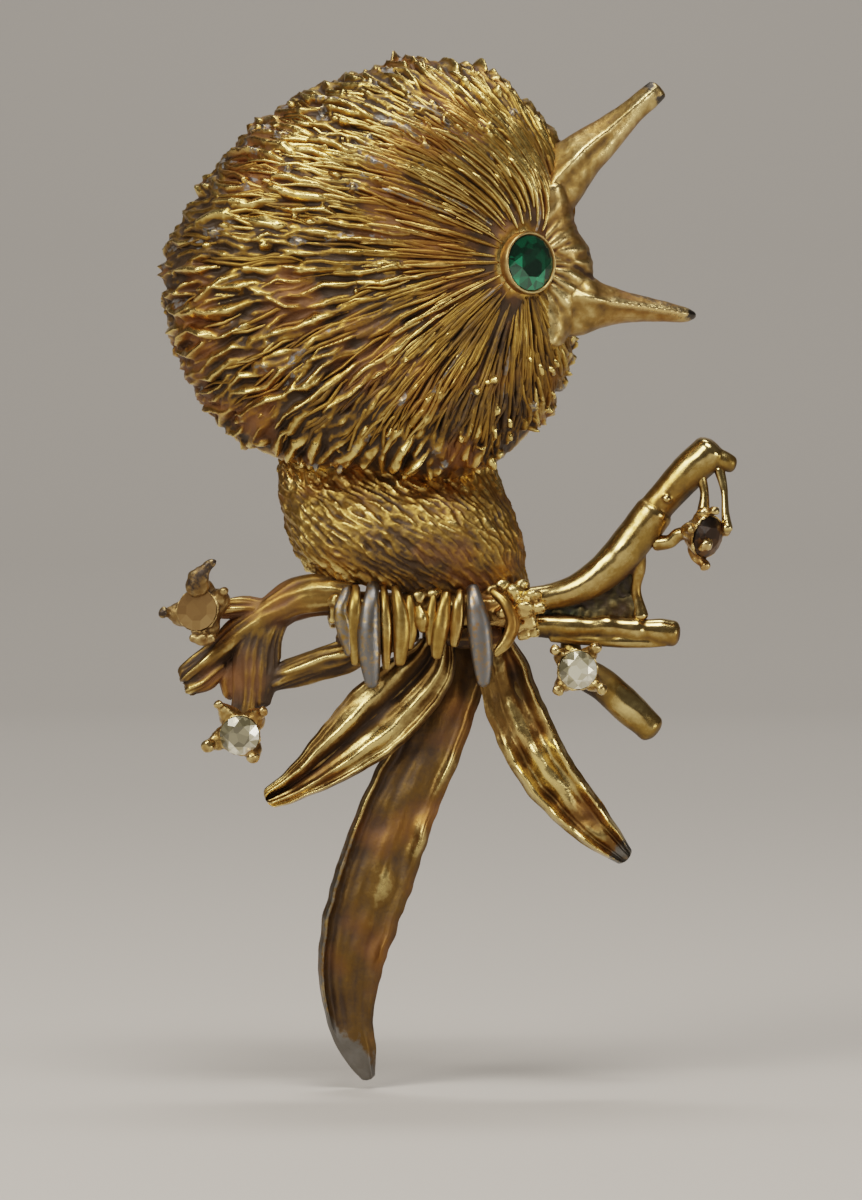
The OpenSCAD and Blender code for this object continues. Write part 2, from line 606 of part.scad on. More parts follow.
// A tail feather: raised rims, a middle rib and a slightly hollow back; points are x, y, z, half width
function feather_ring(p, t, half) = let (s = unit(cross(t, [0, 1, 0])), u = cross(t, s), k = feather_t / 1.1)
    [for (q = [[1, 0], [0.98, 0.42], [0.86, 0.5], [0.68, 0.22], [0.36, 0.14], [0.16, 0.2], [0, 0.5],
            [-0.16, 0.2], [-0.36, 0.14], [-0.68, 0.22], [-0.86, 0.5], [-0.98, 0.42], [-1, 0],
            [-0.8, -0.5], [-0.3, -0.42], [0.3, -0.42], [0.8, -0.5]])
        p + s * half * q[0] + u * k * q[1]];

module feather(points, steps = 2) {
    p = curve(points, steps);
    loft([for (i = [0 : len(p) - 1])
        feather_ring(xyz(p[i]), i == 0 ? heading(points, 0) : heading(p, i), p[i][3])]);
}

under_z = perch_z - perch_r - solder_gap;

module tail_long() {
    root_y = perch_y + perch_r + solder_gap + feather_t / 2;
    h = tail_half;
    color(gold) feather([for (s = [[7.2, 0, 0.9, 0.86], [6.7, 0, -3.4, 0.88], [4.7, 0.9, -9.6, 0.88],
            [2.65, 1.1, -14, 0.95], [1.05, 1.1, -18.4, 1], [-0.4, 0.9, -22.8, 0.96], [-1.2, 0.5, -26.5, 0.82],
            [-1.2, 0, -30.2, 0.58], [-0.4, -0.5, -32.8, 0.4], [0.1, -0.7, -34.8, 0.16]])
        [s[0], root_y - s[1], perch_z + (s[2] > 0 ? s[2] : s[2] * tail_len / 34.8), h * s[3]]]);
}

module tail_left() {
    h = short_feather_half;
    k = left_feather_len / 16;
    color(gold) feather([for (s = [[0, 0, 0, 0.5], [0, 0, -1, 0.6], [-0.9, 0, -3.0, 1.0],
        [-4.1, 0.1, -6.2, 1.2],
            [-7.3, 0.2, -9.0, 0.86], [-10.2, 0.3, -11.2, 0.52], [-12.2, 0.3, -12.3, 0.24]])
        [5.2 + s[0] * k, perch_y - s[1], under_z + s[2] * k, h * s[3]]]);
}

module tail_right() {
    h = short_feather_half;
    k = right_feather_len / 19.5;
    color(gold) feather([for (s = [[0, 0, 0, 0.5], [0, 0, -1, 0.6], [0.4, 0, -2.6, 0.8], [1.6, 0.2, -6.4, 1],
            [3.8, 0.4, -10.6, 0.94], [6.9, 0.5, -14.2, 0.74], [9.7, 0.5, -16.8, 0.2]])
        [9.6 + s[0] * k, perch_y - s[1], under_z + s[2] * k, h * s[3]]]);
}

// The pin finding: a bar across the hollow head, ears and rivet for the hinge, and a turning catch
module pin_bar() {
    left = head_rx * shape_at(180) - 0.45 - bar_w / 2;
    right = head_rx * shape_at(0) - 0.45 - bar_w / 2;
    ear_r = hinge_eye_d / 2 + 0.25;
    ear_in = hinge_eye_d * 0.3 + side_gap;
    color(brass) difference() {
        union() {
            translate([-left, back_y, -bar_w / 2]) cube([left + right, bar_t, bar_w]);
            for (x = [-left, right]) translate([x, back_y, 0]) rotate([-90, 0, 0])
                cylinder(d = bar_w, h = bar_t);
            for (z = [ear_in, -ear_in - ear_t]) {
                translate([hinge_x, 0, z]) cylinder(r = ear_r, h = ear_t);
                translate([hinge_x - ear_r, back_y + bar_t / 2, z])
                    cube([2 * ear_r, -back_y - bar_t / 2, ear_t]);
            }
        }
        translate([hinge_x, 0, -5]) cylinder(d = rivet_d + 0.02, h = 10);
    }
}

module hinge_rivet() {
    reach = hinge_eye_d * 0.3 + side_gap + ear_t + 0.01;
    color(brass) translate([hinge_x, 0, 0]) {
        translate([0, 0, -reach]) cylinder(d = rivet_d, h = 2 * reach);
        translate([0, 0, reach]) cylinder(r1 = rivet_d * 0.9, r2 = rivet_d * 0.55, h = 0.32);
        translate([0, 0, -reach - 0.32]) cylinder(r1 = rivet_d * 0.55, r2 = rivet_d * 0.9, h = 0.32);
    }
}

module pin_stem() {
    eye_h = hinge_eye_d * 0.6;
    color(brass) difference() {
        union() {
            translate([hinge_x, 0, -eye_h / 2]) cylinder(d = hinge_eye_d, h = eye_h);
            translate([stem_half, 0, 0]) rotate([0, 90, 0])
                cylinder(d1 = stem_d, d2 = eye_h, h = hinge_x - stem_half);
            translate([-stem_half, 0, 0]) rotate([0, 90, 0]) cylinder(d = stem_d, h = stem_len);
            translate([-stem_half, 0, 0]) rotate([0, -90, 0])
                cylinder(d1 = stem_d, d2 = stem_d * 0.24, h = point_len);
        }
        translate([hinge_x, 0, -5]) cylinder(r = rivet_d / 2 + turn_gap, h = 10);
    }
}

module catch_housing() {
    base_t = pin_height - drum_d / 2 - 0.15;
    journal_r = drum_d * 0.33;
    long = cheek_gap + 2 * cheek_t;
    color(brass) difference() {
        union() {
            translate([catch_x - long / 2, -pin_height, -drum_d / 2]) cube([long, base_t, drum_d]);
            for (x = [catch_x - cheek_gap / 2 - cheek_t, catch_x + cheek_gap / 2]) {
                translate([x, 0, 0]) rotate([0, 90, 0]) cylinder(d = drum_d + 0.2, h = cheek_t);
                translate([x, -pin_height, -drum_d / 2]) cube([cheek_t, pin_height, drum_d]);
            }
        }
        translate([catch_x - 5, 0, 0]) rotate([0, 90, 0]) cylinder(r = journal_r + turn_gap, h = 10);
        translate([catch_x - 5, 0, -slot_w / 2]) cube([10, 5, slot_w]);
    }
}

module catch_roller() {
    journal_r = drum_d * 0.33;
    long = cheek_gap + 2 * cheek_t - 0.1;
    color(brass) translate([catch_x, 0, 0]) difference() {
        union() {
            translate([-drum_len / 2, 0, 0]) rotate([0, 90, 0]) cylinder(d = drum_d, h = drum_len);
            translate([-long / 2, 0, 0]) rotate([0, 90, 0]) cylinder(r = journal_r, h = long);
            translate([-drum_len * 0.38, -0.35, -tab_reach]) cube([drum_len * 0.76, 0.7, tab_reach]);
            translate([-drum_len * 0.38, 0, -tab_reach]) rotate([0, 90, 0])
                cylinder(d = 1, h = drum_len * 0.76);
        }
        translate([-5, 0, 0]) rotate([0, 90, 0]) cylinder(d = slot_w, h = 10);
        translate([-5, 0, -slot_w / 2]) cube([10, 5, slot_w]);
    }
}

head_shell();
eye_bezel();
eye_stone();
upper_beak();
lower_beak();
body_shell();
left_foot();
right_foot();
perch();
left_limb();
left_flower_twig();
left_drop_twig();
left_under_twig();
right_upper_limb();
right_flower_twig();
right_lower_limb();
right_hanging_twig();
setting_upper_left();
setting_lower_left();
setting_upper_right();
setting_lower_right();
stone_upper_left();
stone_lower_left();
stone_upper_right();
stone_lower_right();
tail_long();
tail_left();
tail_right();
pin_bar();
hinge_rivet();
pin_stem();
catch_housing();
catch_roller();
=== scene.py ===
import math
import random
import bpy
import bmesh
import numpy as np
from mathutils import Matrix, Vector, kdtree, noise


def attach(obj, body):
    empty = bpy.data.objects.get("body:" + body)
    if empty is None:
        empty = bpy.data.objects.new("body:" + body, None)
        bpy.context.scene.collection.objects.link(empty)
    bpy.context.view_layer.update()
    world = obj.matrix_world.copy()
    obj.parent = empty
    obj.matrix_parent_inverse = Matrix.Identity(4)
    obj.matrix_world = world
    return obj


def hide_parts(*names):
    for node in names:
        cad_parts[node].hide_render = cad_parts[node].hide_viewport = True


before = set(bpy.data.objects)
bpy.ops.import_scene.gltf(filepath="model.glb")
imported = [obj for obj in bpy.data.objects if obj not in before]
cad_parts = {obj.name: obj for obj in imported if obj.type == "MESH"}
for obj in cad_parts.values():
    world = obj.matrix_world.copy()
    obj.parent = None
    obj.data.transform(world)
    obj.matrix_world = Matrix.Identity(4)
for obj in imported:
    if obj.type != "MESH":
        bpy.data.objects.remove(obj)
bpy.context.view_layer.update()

# The head: a hollow cast dome, open behind, its rim lifted over the neck. The feathers are cast with it, as
# fine lines round the eye that widen into overlapping wavy locks and end in lumps over the rim. Gilt, with
# brown lacquer and painted shade left in the hollows and grey metal showing where the plate has rubbed
# through.
mm = 0.001
back_y = -3.1
head_rx, head_rz, head_dome, head_wall = 14.85, 15.3, 8.4, 1.3
head_shape = [1.02, 1.11, 1.09, 0.93, 0.86, 0.86, 0.97, 1.0, 1.02, 0.98, 1.13, 1.1]
neck_lift, neck_x, neck_arc, neck_fade = 2.8, 1.8, 46, 12
eye_x, eye_z, eye_plate, eye_turn = 11.65, 0.1, 2.2, math.radians(36)
eye_swell, eye_swell_wide, feather_bow = 0.5, 0.9, 0.33
head_middle = [1, back_y + 3, 0]
bare_from, bare_to = -32, 21
lines, samples = 720, 140
hairs, nodules = 620, 150


def ease(t):
    t = np.clip(t, 0.0, 1.0)
    return t * t * (3 - 2 * t)


def mix(a, b, t):
    return a + (b - a) * t


def hump(u, at, wide):
    return np.exp(-((u - at) / wide) ** 2)


def unit(v):
    return v / np.linalg.norm(v, axis=-1, keepdims=True)


def clouds(x, y, z):
    return np.vectorize(lambda a, b, c: noise.noise(Vector((a, b, c))))(x, y, z)


# A smooth curve that passes four points, f of the way from the second to the third
def curve(a, b, c, d, f):
    return 0.5 * (2 * b + (c - a) * f + (2 * a - 5 * b + 4 * c - d) * f * f
                  + (3 * b - a - 3 * c + d) * f ** 3)


# The head's outline seen from the front, as a share of its radius, at an angle in degrees
def outline(angle):
    u = np.mod(angle, 360) / 30
    i = np.floor(u).astype(int)
    return curve(*(np.take(head_shape, (i + k) % 12) for k in (-1, 0, 1, 2)), u - i)


# How far a place on the head belongs to the lifted rim over the neck
def over_neck(x, z):
    return ease((neck_arc - np.abs(np.degrees(np.arctan2(x - neck_x, -z)))) / neck_fade) * (z < 0)


def dome_y(x, z, less=0.0):
    rx, rz = head_rx - less, head_rz - less
    q = np.hypot(x / rx, z / rz) / outline(np.degrees(np.arctan2(z / rz, x / rx)))
    depth = (head_dome - less) * np.maximum(0, 1 - q ** 3) ** 0.4
    return back_y - np.hypot(depth, neck_lift * over_neck(x, z))


# Feather lines from the eye to the rim, each with the same number of points an equal way apart
turn = np.linspace(-180, 180, lines + 1)[:-1]
rim = np.where(turn > 0, np.interp(turn, [0, 30, 60, 90, 120, 150, 180], [0, 42, 76, 101, 124, 149, 180]),
               -np.interp(-turn, [0, 30, 60, 90, 120, 150, 165, 180], [0, 8, 24, 46, 76, 108, 140, 180]))
way = np.stack([np.cos(np.radians(turn)), np.sin(np.radians(turn))], 1)
start = np.array([eye_x, eye_z]) + eye_plate * way * [math.cos(eye_turn), 1]
edge = outline(rim)[:, None] * np.stack([np.cos(np.radians(rim)), np.sin(np.radians(rim))], 1)
end = edge * [head_rx, head_rz]
bend = start + feather_bow * np.linalg.norm(end - start, axis=1)[:, None] * way
t = (1 - (1 - np.linspace(0, 1, 200)) ** 2)[None, :, None]
flat = start[:, None] * (1 - t) ** 2 + bend[:, None] * 2 * t * (1 - t) + end[:, None] * t ** 2
fine = np.stack([flat[..., 0], dome_y(flat[..., 0], flat[..., 1]), flat[..., 1]], 2)
hops = np.linalg.norm(np.diff(fine, axis=1), axis=2)
travel = np.concatenate([np.zeros((lines, 1)), np.cumsum(hops, 1)], 1)
reach = travel[:, -1]
dome = np.stack([[np.interp(np.linspace(0, reach[k], samples + 1), travel[k], fine[k, :, c])
                  for c in range(3)] for k in range(lines)]).transpose(0, 2, 1)
plate = dome[:, 0].mean(0)
left_of_eye = (0.5 - 0.5 * np.cos(np.radians(turn)))[:, None]
out_of_eye = reach[:, None] * np.linspace(0, 1, samples + 1)
dome[..., 1] -= eye_swell * left_of_eye * hump(out_of_eye, 0, eye_swell_wide)
up = unit(np.cross(np.roll(dome, -3, 0) - np.roll(dome, 3, 0), np.gradient(dome, axis=1)))
up *= np.sign(np.sum(up * (dome - head_middle), 2))[..., None]
neck = over_neck(*end.T)


# The dome's point and its outward direction, on feather line k, s from the eye
def on_head(k, s):
    i = np.floor(k).astype(int)
    g = (k - i)[:, None]
    a, b = i % lines, (i + 1) % lines
    f = np.clip(s / mix(reach[a], reach[b], g[:, 0]), 0, 0.9999) * samples
    r = f.astype(int)
    h = (f - r)[:, None]
    p, n = (mix(mix(w[a, r], w[a, r + 1], h), mix(w[b, r], w[b, r + 1], h), g) for w in (dome, up))
    return p, unit(n)


def new_mesh():
    bm = bmesh.new()
    for layer in ("crest", "worn"):
        bm.verts.layers.float.new(layer)
    bm.verts.layers.int.new("spot")
    return bm


# A closed skin: a grid rolled up round rows of points, its seam and its two ends merged
def skin(bm, points, crest=0.5, worn=0.0):
    rows, around = points.shape[:2]
    made = bmesh.ops.create_grid(bm, x_segments=rows - 1, y_segments=around, size=0.5)["verts"]
    layers = bm.verts.layers.float
    values = ((layers["crest"], np.broadcast_to(crest, (rows, around)).tolist()),
              (layers["worn"], np.broadcast_to(worn, (rows, around)).tolist()))
    spot = bm.verts.layers.int["spot"]
    co = (points * mm).tolist()
    for v in made:
        i, j = round((v.co.x + 0.5) * (rows - 1)), round((v.co.y + 0.5) * around) % around
        v.co, v[spot] = co[i][j], i * around + j
        for layer, value in values:
            v[layer] = value[i][j]
    bmesh.ops.remove_doubles(bm, verts=made, dist=1e-8)


def mesh_of(bm, name):
    bmesh.ops.recalc_face_normals(bm, faces=bm.faces[:])
    mesh = bpy.data.meshes.new(name)
    bm.to_mesh(mesh)
    bm.free()
    return mesh


def placed(name, data):
    obj = bpy.data.objects.new(name, data)
    bpy.context.scene.collection.objects.link(obj)
    return obj


def piece(bm, name, material):
    mesh = mesh_of(bm, name)
    mesh.materials.append(material)
    mesh.shade_smooth()
    return placed(name, mesh)


# Many small skins of one pattern: the pattern is made once, copied, and each copy laid on its own points
def flock(bm, many):
    one = new_mesh()
    skin(one, many[0][0])
    spot = one.verts.layers.int["spot"]
    order = [v[spot] for v in one.verts]
    pattern = bpy.data.meshes.new("pattern")
    one.to_mesh(pattern)
    one.free()
    crowd = new_mesh()
    for each in many:
        crowd.from_mesh(pattern)
    crest, worn = (crowd.verts.layers.float[layer] for layer in ("crest", "worn"))
    shade = [lock_shade[n % len(lock_shade)] for n in order]
    place = iter(crowd.verts)
    for points, tone, bare in many:
        for co, share, v in zip((points.reshape(-1, 3)[order] * mm).tolist(), shade, place):
            v.co, v[crest], v[worn] = co, tone * share, bare * share
    crowd.to_mesh(pattern)
    crowd.free()
    bm.from_mesh(pattern)
    bpy.data.meshes.remove(pattern)


# The tone and the wear of the small skin that is nearest to each point
def nearest(many, points):
    tree = kdtree.KDTree(sum(len(each[0]) for each in many))
    for n, each in enumerate(many):
        for middle in each[0].mean(1).tolist():
            tree.insert(middle, n)
    tree.balance()
    found = [tree.find(p)[1] for p in points.tolist()]
    return np.array([each[1:] for each in many])[found].T


# A new material and its shader, with ways to add a node with its values and to link two of them
def surface(name):
    m = bpy.data.materials.new(name)
    m.use_nodes = True
    tree = m.node_tree

    def add(kind, values=()):
        n = tree.nodes.new("ShaderNode" + kind)
        for key, value in dict(values).items():
            n.inputs[key].default_value = value
        return n

    return m, tree.nodes["Principled BSDF"], add, tree.links.new


# A ramp of colours, each with its place: the first, the last and those between
def ramp_of(add, first, last, *between):
    n = add("ValToRGB")
    for element, (at, colour) in zip(n.color_ramp.elements, (first, last)):
        element.position, element.color = at, (*colour, 1)
    for at, colour in between:
        n.color_ramp.elements.new(at).color = (*colour, 1)
    return n


# Aged gilding: brown in the hollows, partly lacquer and partly painted shade, gold on the slopes, pale on the
# crests as a painted highlight, grey where it is rubbed through
def gilding(name, dark, gold, pale, grey=(0.30, 0.285, 0.265), shine=0.27, grain=0.3, rub=0.0, copper=0.35):
    m, shader, add, link = surface(name)
    where = add("TexCoord").outputs["Object"]
    copper_glow = (0.34, 0.125, 0.03)

    def cloud(scale, detail, rough=0.5):
        n = add("TexNoise", {"Scale": scale, "Detail": detail, "Roughness": rough})
        link(where, n.inputs["Vector"])
        return n.outputs["Fac"]

    def total(a, b, clamp=False):
        n = add("Math")
        n.operation, n.use_clamp = "ADD", clamp
        link(a, n.inputs[0])
        link(b, n.inputs[1])
        return n.outputs[0]

    def span(value, a, b, c, d):
        n = add("MapRange", {"From Min": a, "From Max": b, "To Min": c, "To Max": d})
        link(value, n.inputs["Value"])
        return n.outputs["Result"]

    def blend(share, a, b):
        n = add("Mix")
        n.data_type = "RGBA"
        link(share, n.inputs["Factor"])
        link(a, n.inputs[6])
        n.inputs[7].default_value = (*b, 1)
        return n.outputs[2]

    def kept(layer):
        n = add("Attribute")
        n.attribute_name = layer
        return n.outputs["Fac"]

    broad, skin_grain = cloud(330, 3), cloud(2600, 4, 0.6)
    tone = total(kept("crest"), span(broad, 0.3, 0.7, -0.1, 0.1))
    tone = total(tone, span(skin_grain, 0.3, 0.7, -0.09, 0.09), True)
    ramp = ramp_of(add, (0.1, dark), (0.98, pale), (0.52, gold))
    link(tone, ramp.inputs["Fac"])
    colour = blend(span(cloud(210, 2), 0.5, 0.7, 0, copper), ramp.outputs["Color"], copper_glow)
    bare = total(kept("worn"), span(cloud(520, 2), 0.62, 0.72, 0, rub))
    bare = span(total(bare, span(skin_grain, 0.35, 0.65, -0.25, 0.25)), 0.35, 0.75, 0, 1)
    link(blend(bare, colour, grey), shader.inputs["Base Color"])
    link(span(tone, 0.08, 0.42, 0.4, 1.0), shader.inputs["Metallic"])
    rough = total(span(tone, 0.1, 0.8, 0.6, shine), span(skin_grain, 0.3, 0.7, -0.05, 0.09))
    link(total(rough, span(bare, 0, 1, 0, 0.06), True), shader.inputs["Roughness"])
    bump = add("Bump", {"Strength": grain, "Distance": 0.12 * mm})
    link(total(skin_grain, cloud(900, 3)), bump.inputs["Height"])
    link(bump.outputs["Normal"], shader.inputs["Normal"])
    return m


head_gilt = gilding("head_gilt", (0.034, 0.017, 0.005), (0.30, 0.162, 0.033), (0.82, 0.585, 0.20),
                    grey=(0.19, 0.18, 0.17), shine=0.22, rub=0.2, copper=0.5)


# Takes away the small parts that hang on to nothing
def drop_crumbs(mesh, fewest=300):
    bm = bmesh.new()
    bm.from_mesh(mesh)
    left, crumbs = set(bm.verts), []
    while left:
        part = [left.pop()]
        for v in part:
            for w in (e.other_vert(v) for e in v.link_edges):
                if w in left:
                    left.remove(w)
                    part.append(w)
        if len(part) < fewest:
            crumbs += part
    bmesh.ops.delete(bm, geom=crumbs, context="VERTS")
    bm.to_mesh(mesh)
    bm.free()


# A casting of several closed skins: they are fused and softened where they meet, then the surface gets its
# relief. A point that stands out from the ones round it is given a higher crest
def cast(bm, name, material, relief, voxel=0.1, soften=3, gain=3.0, thin=1.0):
    even_rounds = 16
    mesh = mesh_of(bm, name)
    mesh.transform(Matrix.Scale(1 / mm, 4))
    loose = placed(name, mesh)
    fuse = loose.modifiers.new("fuse", "REMESH")
    fuse.mode, fuse.voxel_size = "VOXEL", voxel
    loose.modifiers.new("soften", "SMOOTH").iterations = soften
    loose.modifiers.new("thin", "DECIMATE").ratio = thin
    fused = bpy.data.meshes.new_from_object(loose.evaluated_get(bpy.context.evaluated_depsgraph_get()))
    bpy.data.objects.remove(loose)
    bpy.data.meshes.remove(mesh)
    drop_crumbs(fused)
    count = len(fused.vertices)
    points, normals = np.empty((count, 3)), np.empty((count, 3))
    ends = np.empty((len(fused.edges), 2), int)
    for data, key, values in ((fused.vertices, "co", points), (fused.vertices, "normal", normals),
                              (fused.edges, "vertices", ends)):
        flat_values = values.ravel()
        data.foreach_get(key, flat_values)
        values[:] = flat_values.reshape(values.shape)
    high, tone, worn = relief(points, normals)
    points += normals * high[:, None]
    a, b = ends.T
    shared = np.bincount(ends.ravel(), minlength=count)
    even = points.copy()
    for step in range(even_rounds):
        even = np.stack([(np.bincount(a, even[b, c], count) + np.bincount(b, even[a, c], count)) / shared
                         for c in range(3)], 1)
    crest = tone + gain * np.sum((points - even) * normals, 1)
    fused.vertices.foreach_set("co", (points * mm).ravel())
    for layer, values in (("crest", crest), ("worn", worn)):
        fused.attributes.new(layer, "FLOAT", "POINT").data.foreach_set("value", values)
    fused.materials.clear()
    fused.materials.append(material)
    fused.shade_smooth()
    fused.update()
    return placed(name, fused)


# The dome under the locks and its hollow: rows from the middle of the eye's plate over the rim to the inside
rows = np.arange(0, samples + 1, 2)
run = reach[:, None] * rows / samples
column = np.arange(lines)[:, None] * np.ones(len(rows))
ridge = clouds(column * 0.42, run * 0.3, 3.0) + 0.6 * clouds(column * 0.9, run * 0.5, 9.0)
face = 1 - np.where(turn > 0, ease((turn - 18) / 16), ease((-turn - 30) / 16))[:, None]
height = mix(0.16, 0.02, face) * ridge * ease(rows / 16)
outside = dome[:, rows] + up[:, rows] * height[..., None]
tint = mix(0.13 + 0.13 * ridge, 0.5, face)
inward = np.array([1, 0.985, 0.94, 0.87, 0.78, 0.68, 0.56, 0.44, 0.32, 0.2, 0.1, 0])
inside = (edge * [head_rx - head_wall, head_rz - head_wall])[:, None] * inward[:, None]
lumps = 0.12 * clouds(inside[..., 0] * 0.8, inside[..., 1] * 0.8, 5.0) * np.minimum(1, np.arange(len(inward)))
inner_x, inner_z = inside[..., 0], inside[..., 1]
inside = np.stack([inner_x, dome_y(inner_x, inner_z, head_wall) + lumps, inner_z], 2)
plate = np.broadcast_to(plate, (lines, 1, 3))
bm = new_mesh()
skin(bm, np.concatenate([plate, outside, inside], 1).transpose(1, 0, 2),
     np.concatenate([np.full((lines, 1), 0.1), tint, 0.42 + lumps], 1).T)

# The locks on the dome: narrow round the eye, wider, wavier and more uneven towards the rim. Each pair has
# the size near the eye and the size near the rim
lock_wide, lock_pitch, lock_high = (0.44, 1.0), (1.8, 2.2), (0.34, 0.7)
lock_drift, lock_wave, lock_lift = (0.4, 2.4), (0.08, 1.0), (0.12, 0.5)
lock_section = np.array([(1, -0.25), (0.6, 0.5), (0.1, 1), (-0.45, 0.66), (-1, -0.25), (0, -0.7)])
lock_shade = (0.1, 0.6, 1, 0.7, 0.1, 0)
lock_steps = np.array([0, 0.05, 0.18, 0.36, 0.55, 0.73, 0.87, 0.96, 1])
rng = random.Random(11)


# One lock along points on the casting: u is how far along each ring is, and its end is rounded
def lock(points, normals, u, half, height, lift, taper, tone=1.0, worn=0.0):
    side = np.cross(normals, np.gradient(points, axis=0))
    side /= np.linalg.norm(side, axis=1)[:, None] + 1e-9
    length = np.linalg.norm(points[-1] - points[0])
    swell = 1 + 0.4 * clouds(rng.random() * 90, u * length * 0.8, 7)
    swell *= np.sqrt(1 - np.clip((u - 0.86) / 0.14, 0, 1) ** 2) * (u > 0)
    w = half * swell * (0.5 + 0.5 * ease(u / 0.35)) * (1 - taper * ease((u - 0.55) / 0.45))
    h = height * swell * (0.3 + 0.7 * ease(u / 0.4)) * (1 - 0.7 * taper * ease((u - 0.7) / 0.3))
    rise = lift * ease(u / 0.6) * (1 - 0.6 * ease((u - 0.8) / 0.2))
    x, y = lock_section.T
    skin_points = (points[:, None] + side[:, None] * (w[:, None] * x)[..., None]
                   + normals[:, None] * (h[:, None] * y + rise[:, None])[..., None])
    return skin_points, tone, worn


# A lock's way along feather line k, from s on, that drifts to one side and waves
def head_path(k, s, length, drift, wave):
    near = s + length * lock_steps
    across = on_head(k + 2 + 0 * near, near)[0] - on_head(k - 2 + 0 * near, near)[0]
    gap = np.linalg.norm(across, axis=1) / 4 + 1e-4
    aside = drift * (lock_steps - 0.3) + wave * clouds(rng.random() * 90, near * 0.4, 0)
    return on_head(k + aside / gap, near)


# The face has no feathers
def feathered(angle):
    return not bare_from < angle < bare_to


def rubbed(chance):
    return 0.6 if rng.random() < chance else 0.0


# The locks lie in bundles: those in a bundle stand higher and are brighter than those between
def bundle(k, s):
    return noise.noise(Vector((k * 0.05, s * 0.17, 77)))


# The locks' tone: painted light, brighter towards the crown and darker below the eye, with random patches
def top_lit_tone(p):
    return 0.62 + 0.34 * ease((p[2] + 3) / 13) + 0.35 * noise.noise(Vector(p) * 0.17 + Vector((7, 0, 0)))


many, fine_lines = [], []
s = 0.0
while s < reach.max() - 1.5:
    share = float(ease(s / 17))
    wide, pitch = mix(*lock_wide, share), mix(*lock_pitch, share)
    k = rng.uniform(0, 4)
    while k < lines:
        i = int(k) % lines
        at = s + rng.uniform(-0.45, 0.45) * pitch
        pair = on_head(np.array([k - 3, k + 3]), np.array([s, s]))[0]
        if feathered(turn[i] + rng.uniform(-5, 5)) and -0.3 < at < reach[i] - 1.6:
            at = max(0, at)
            clump = bundle(k, at)
            length = min(pitch * rng.uniform(1.7, 4.0), reach[i] - at - 0.6 - 1.3 * neck[i])
            points, normals = head_path(k, at, length, drift=rng.uniform(-0.3, 0.3) * mix(*lock_drift, share),
                                        wave=mix(*lock_wave, share))
            height = mix(*lock_high, share) * rng.uniform(0.5, 1.3) * (1 + 0.5 * clump)
            lift = rng.uniform(0, 0.08) + mix(*lock_lift, share) * max(0, clump)
            shape = lock(points, normals, lock_steps, half=wide * rng.uniform(0.34, 0.72), height=height,
                         lift=lift, taper=rng.uniform(0.05, 0.45),
                         tone=top_lit_tone(points[4]) * rng.uniform(0.62, 1.0) + 0.45 * clump, worn=rubbed(0.06))
            if s < 9:
                fine_lines.append(shape)
            if s > 4:
                many.append(shape)
        k += wide * rng.uniform(0.75, 1.35) / (np.linalg.norm(pair[1] - pair[0]) / 6 + 1e-4)
    s += pitch * 0.9

# Single hairs that lie over them, some ending in a bead rubbed grey
for n in range(hairs):
    k, share = rng.uniform(0, lines), rng.random() ** 0.8
    i = int(k)
    length = rng.uniform(3.5, 9.0)
    at = mix(0.1, max(0.2, reach[i] - length - 2.2), share)
    length = min(length, reach[i] - at - 1.4 - 0.8 * neck[i])
    if length > 1.5 and feathered(turn[i]):
        clump = bundle(k, at + 0.5 * length)
        lift = rng.uniform(0.05, 0.2) + 0.15 * share + 0.35 * share * max(0, clump)
        points, normals = head_path(k, at, length, drift=rng.uniform(-0.7, 0.7) * share, wave=0.9 * share)
        fine_lines.append(lock(points, normals, lock_steps, half=rng.uniform(0.15, 0.3),
                               height=rng.uniform(0.2, 0.4), lift=lift, taper=0.3,
                               tone=top_lit_tone(points[4]) * rng.uniform(0.65, 1.0) + 0.4 * clump))
        if n % 9 == 0 and share > 0.25:
            bead = points[-3] + (points[-1] - points[-3]) * mix(0.7, 1.3, lock_steps)[:, None]
            facing = normals[-1:].repeat(len(lock_steps), 0)
            many.append(lock(bead, facing, lock_steps, half=rng.uniform(0.28, 0.42),
                             height=rng.uniform(0.4, 0.6), lift=lift, taper=0.1, tone=1.05,
                             worn=rng.choice((0.0, 0.6))))

# Nodules, where the casting filled badly
for n in range(nodules):
    k = rng.uniform(0, lines)
    i = int(k)
    if feathered(turn[i]):
        points, normals = head_path(k, reach[i] * rng.uniform(0.35, 0.93), length=rng.uniform(0.6, 1.3),
                                    drift=0, wave=0.1)
        many.append(lock(points, normals, lock_steps, half=rng.uniform(0.24, 0.42),
                         height=rng.uniform(0.4, 0.65), lift=rng.uniform(0.15, 0.4), taper=0.05, tone=1.0,
                         worn=rubbed(0.3)))

# The lumps along the rim, where the locks end
k = 0.0
while k < lines:
    i = int(k)
    step = rng.uniform(1.3, 2.4)
    gap = np.linalg.norm(dome[(i + 4) % lines, -4] - dome[i - 4, -4]) / 8 + 1e-4
    if feathered(turn[i]) and neck[i] < 0.5:
        for inset in (rng.uniform(1.5, 2.1), rng.uniform(2.7, 3.5)):
            length = min(rng.uniform(1.4, 2.1), inset - 0.02)
            points, normals = head_path(k + rng.uniform(-2, 2), reach[i] - inset, length,
                                        drift=rng.uniform(-0.6, 0.6), wave=0.3)
            many.append(lock(points, normals, lock_steps, half=step * rng.uniform(0.38, 0.54),
                             height=rng.uniform(0.4, 0.75), lift=rng.uniform(0, 0.12), taper=0.05,
                             tone=rng.uniform(0.7, 1.0), worn=rubbed(0.1)))
    k += step / gap
flock(bm, many)


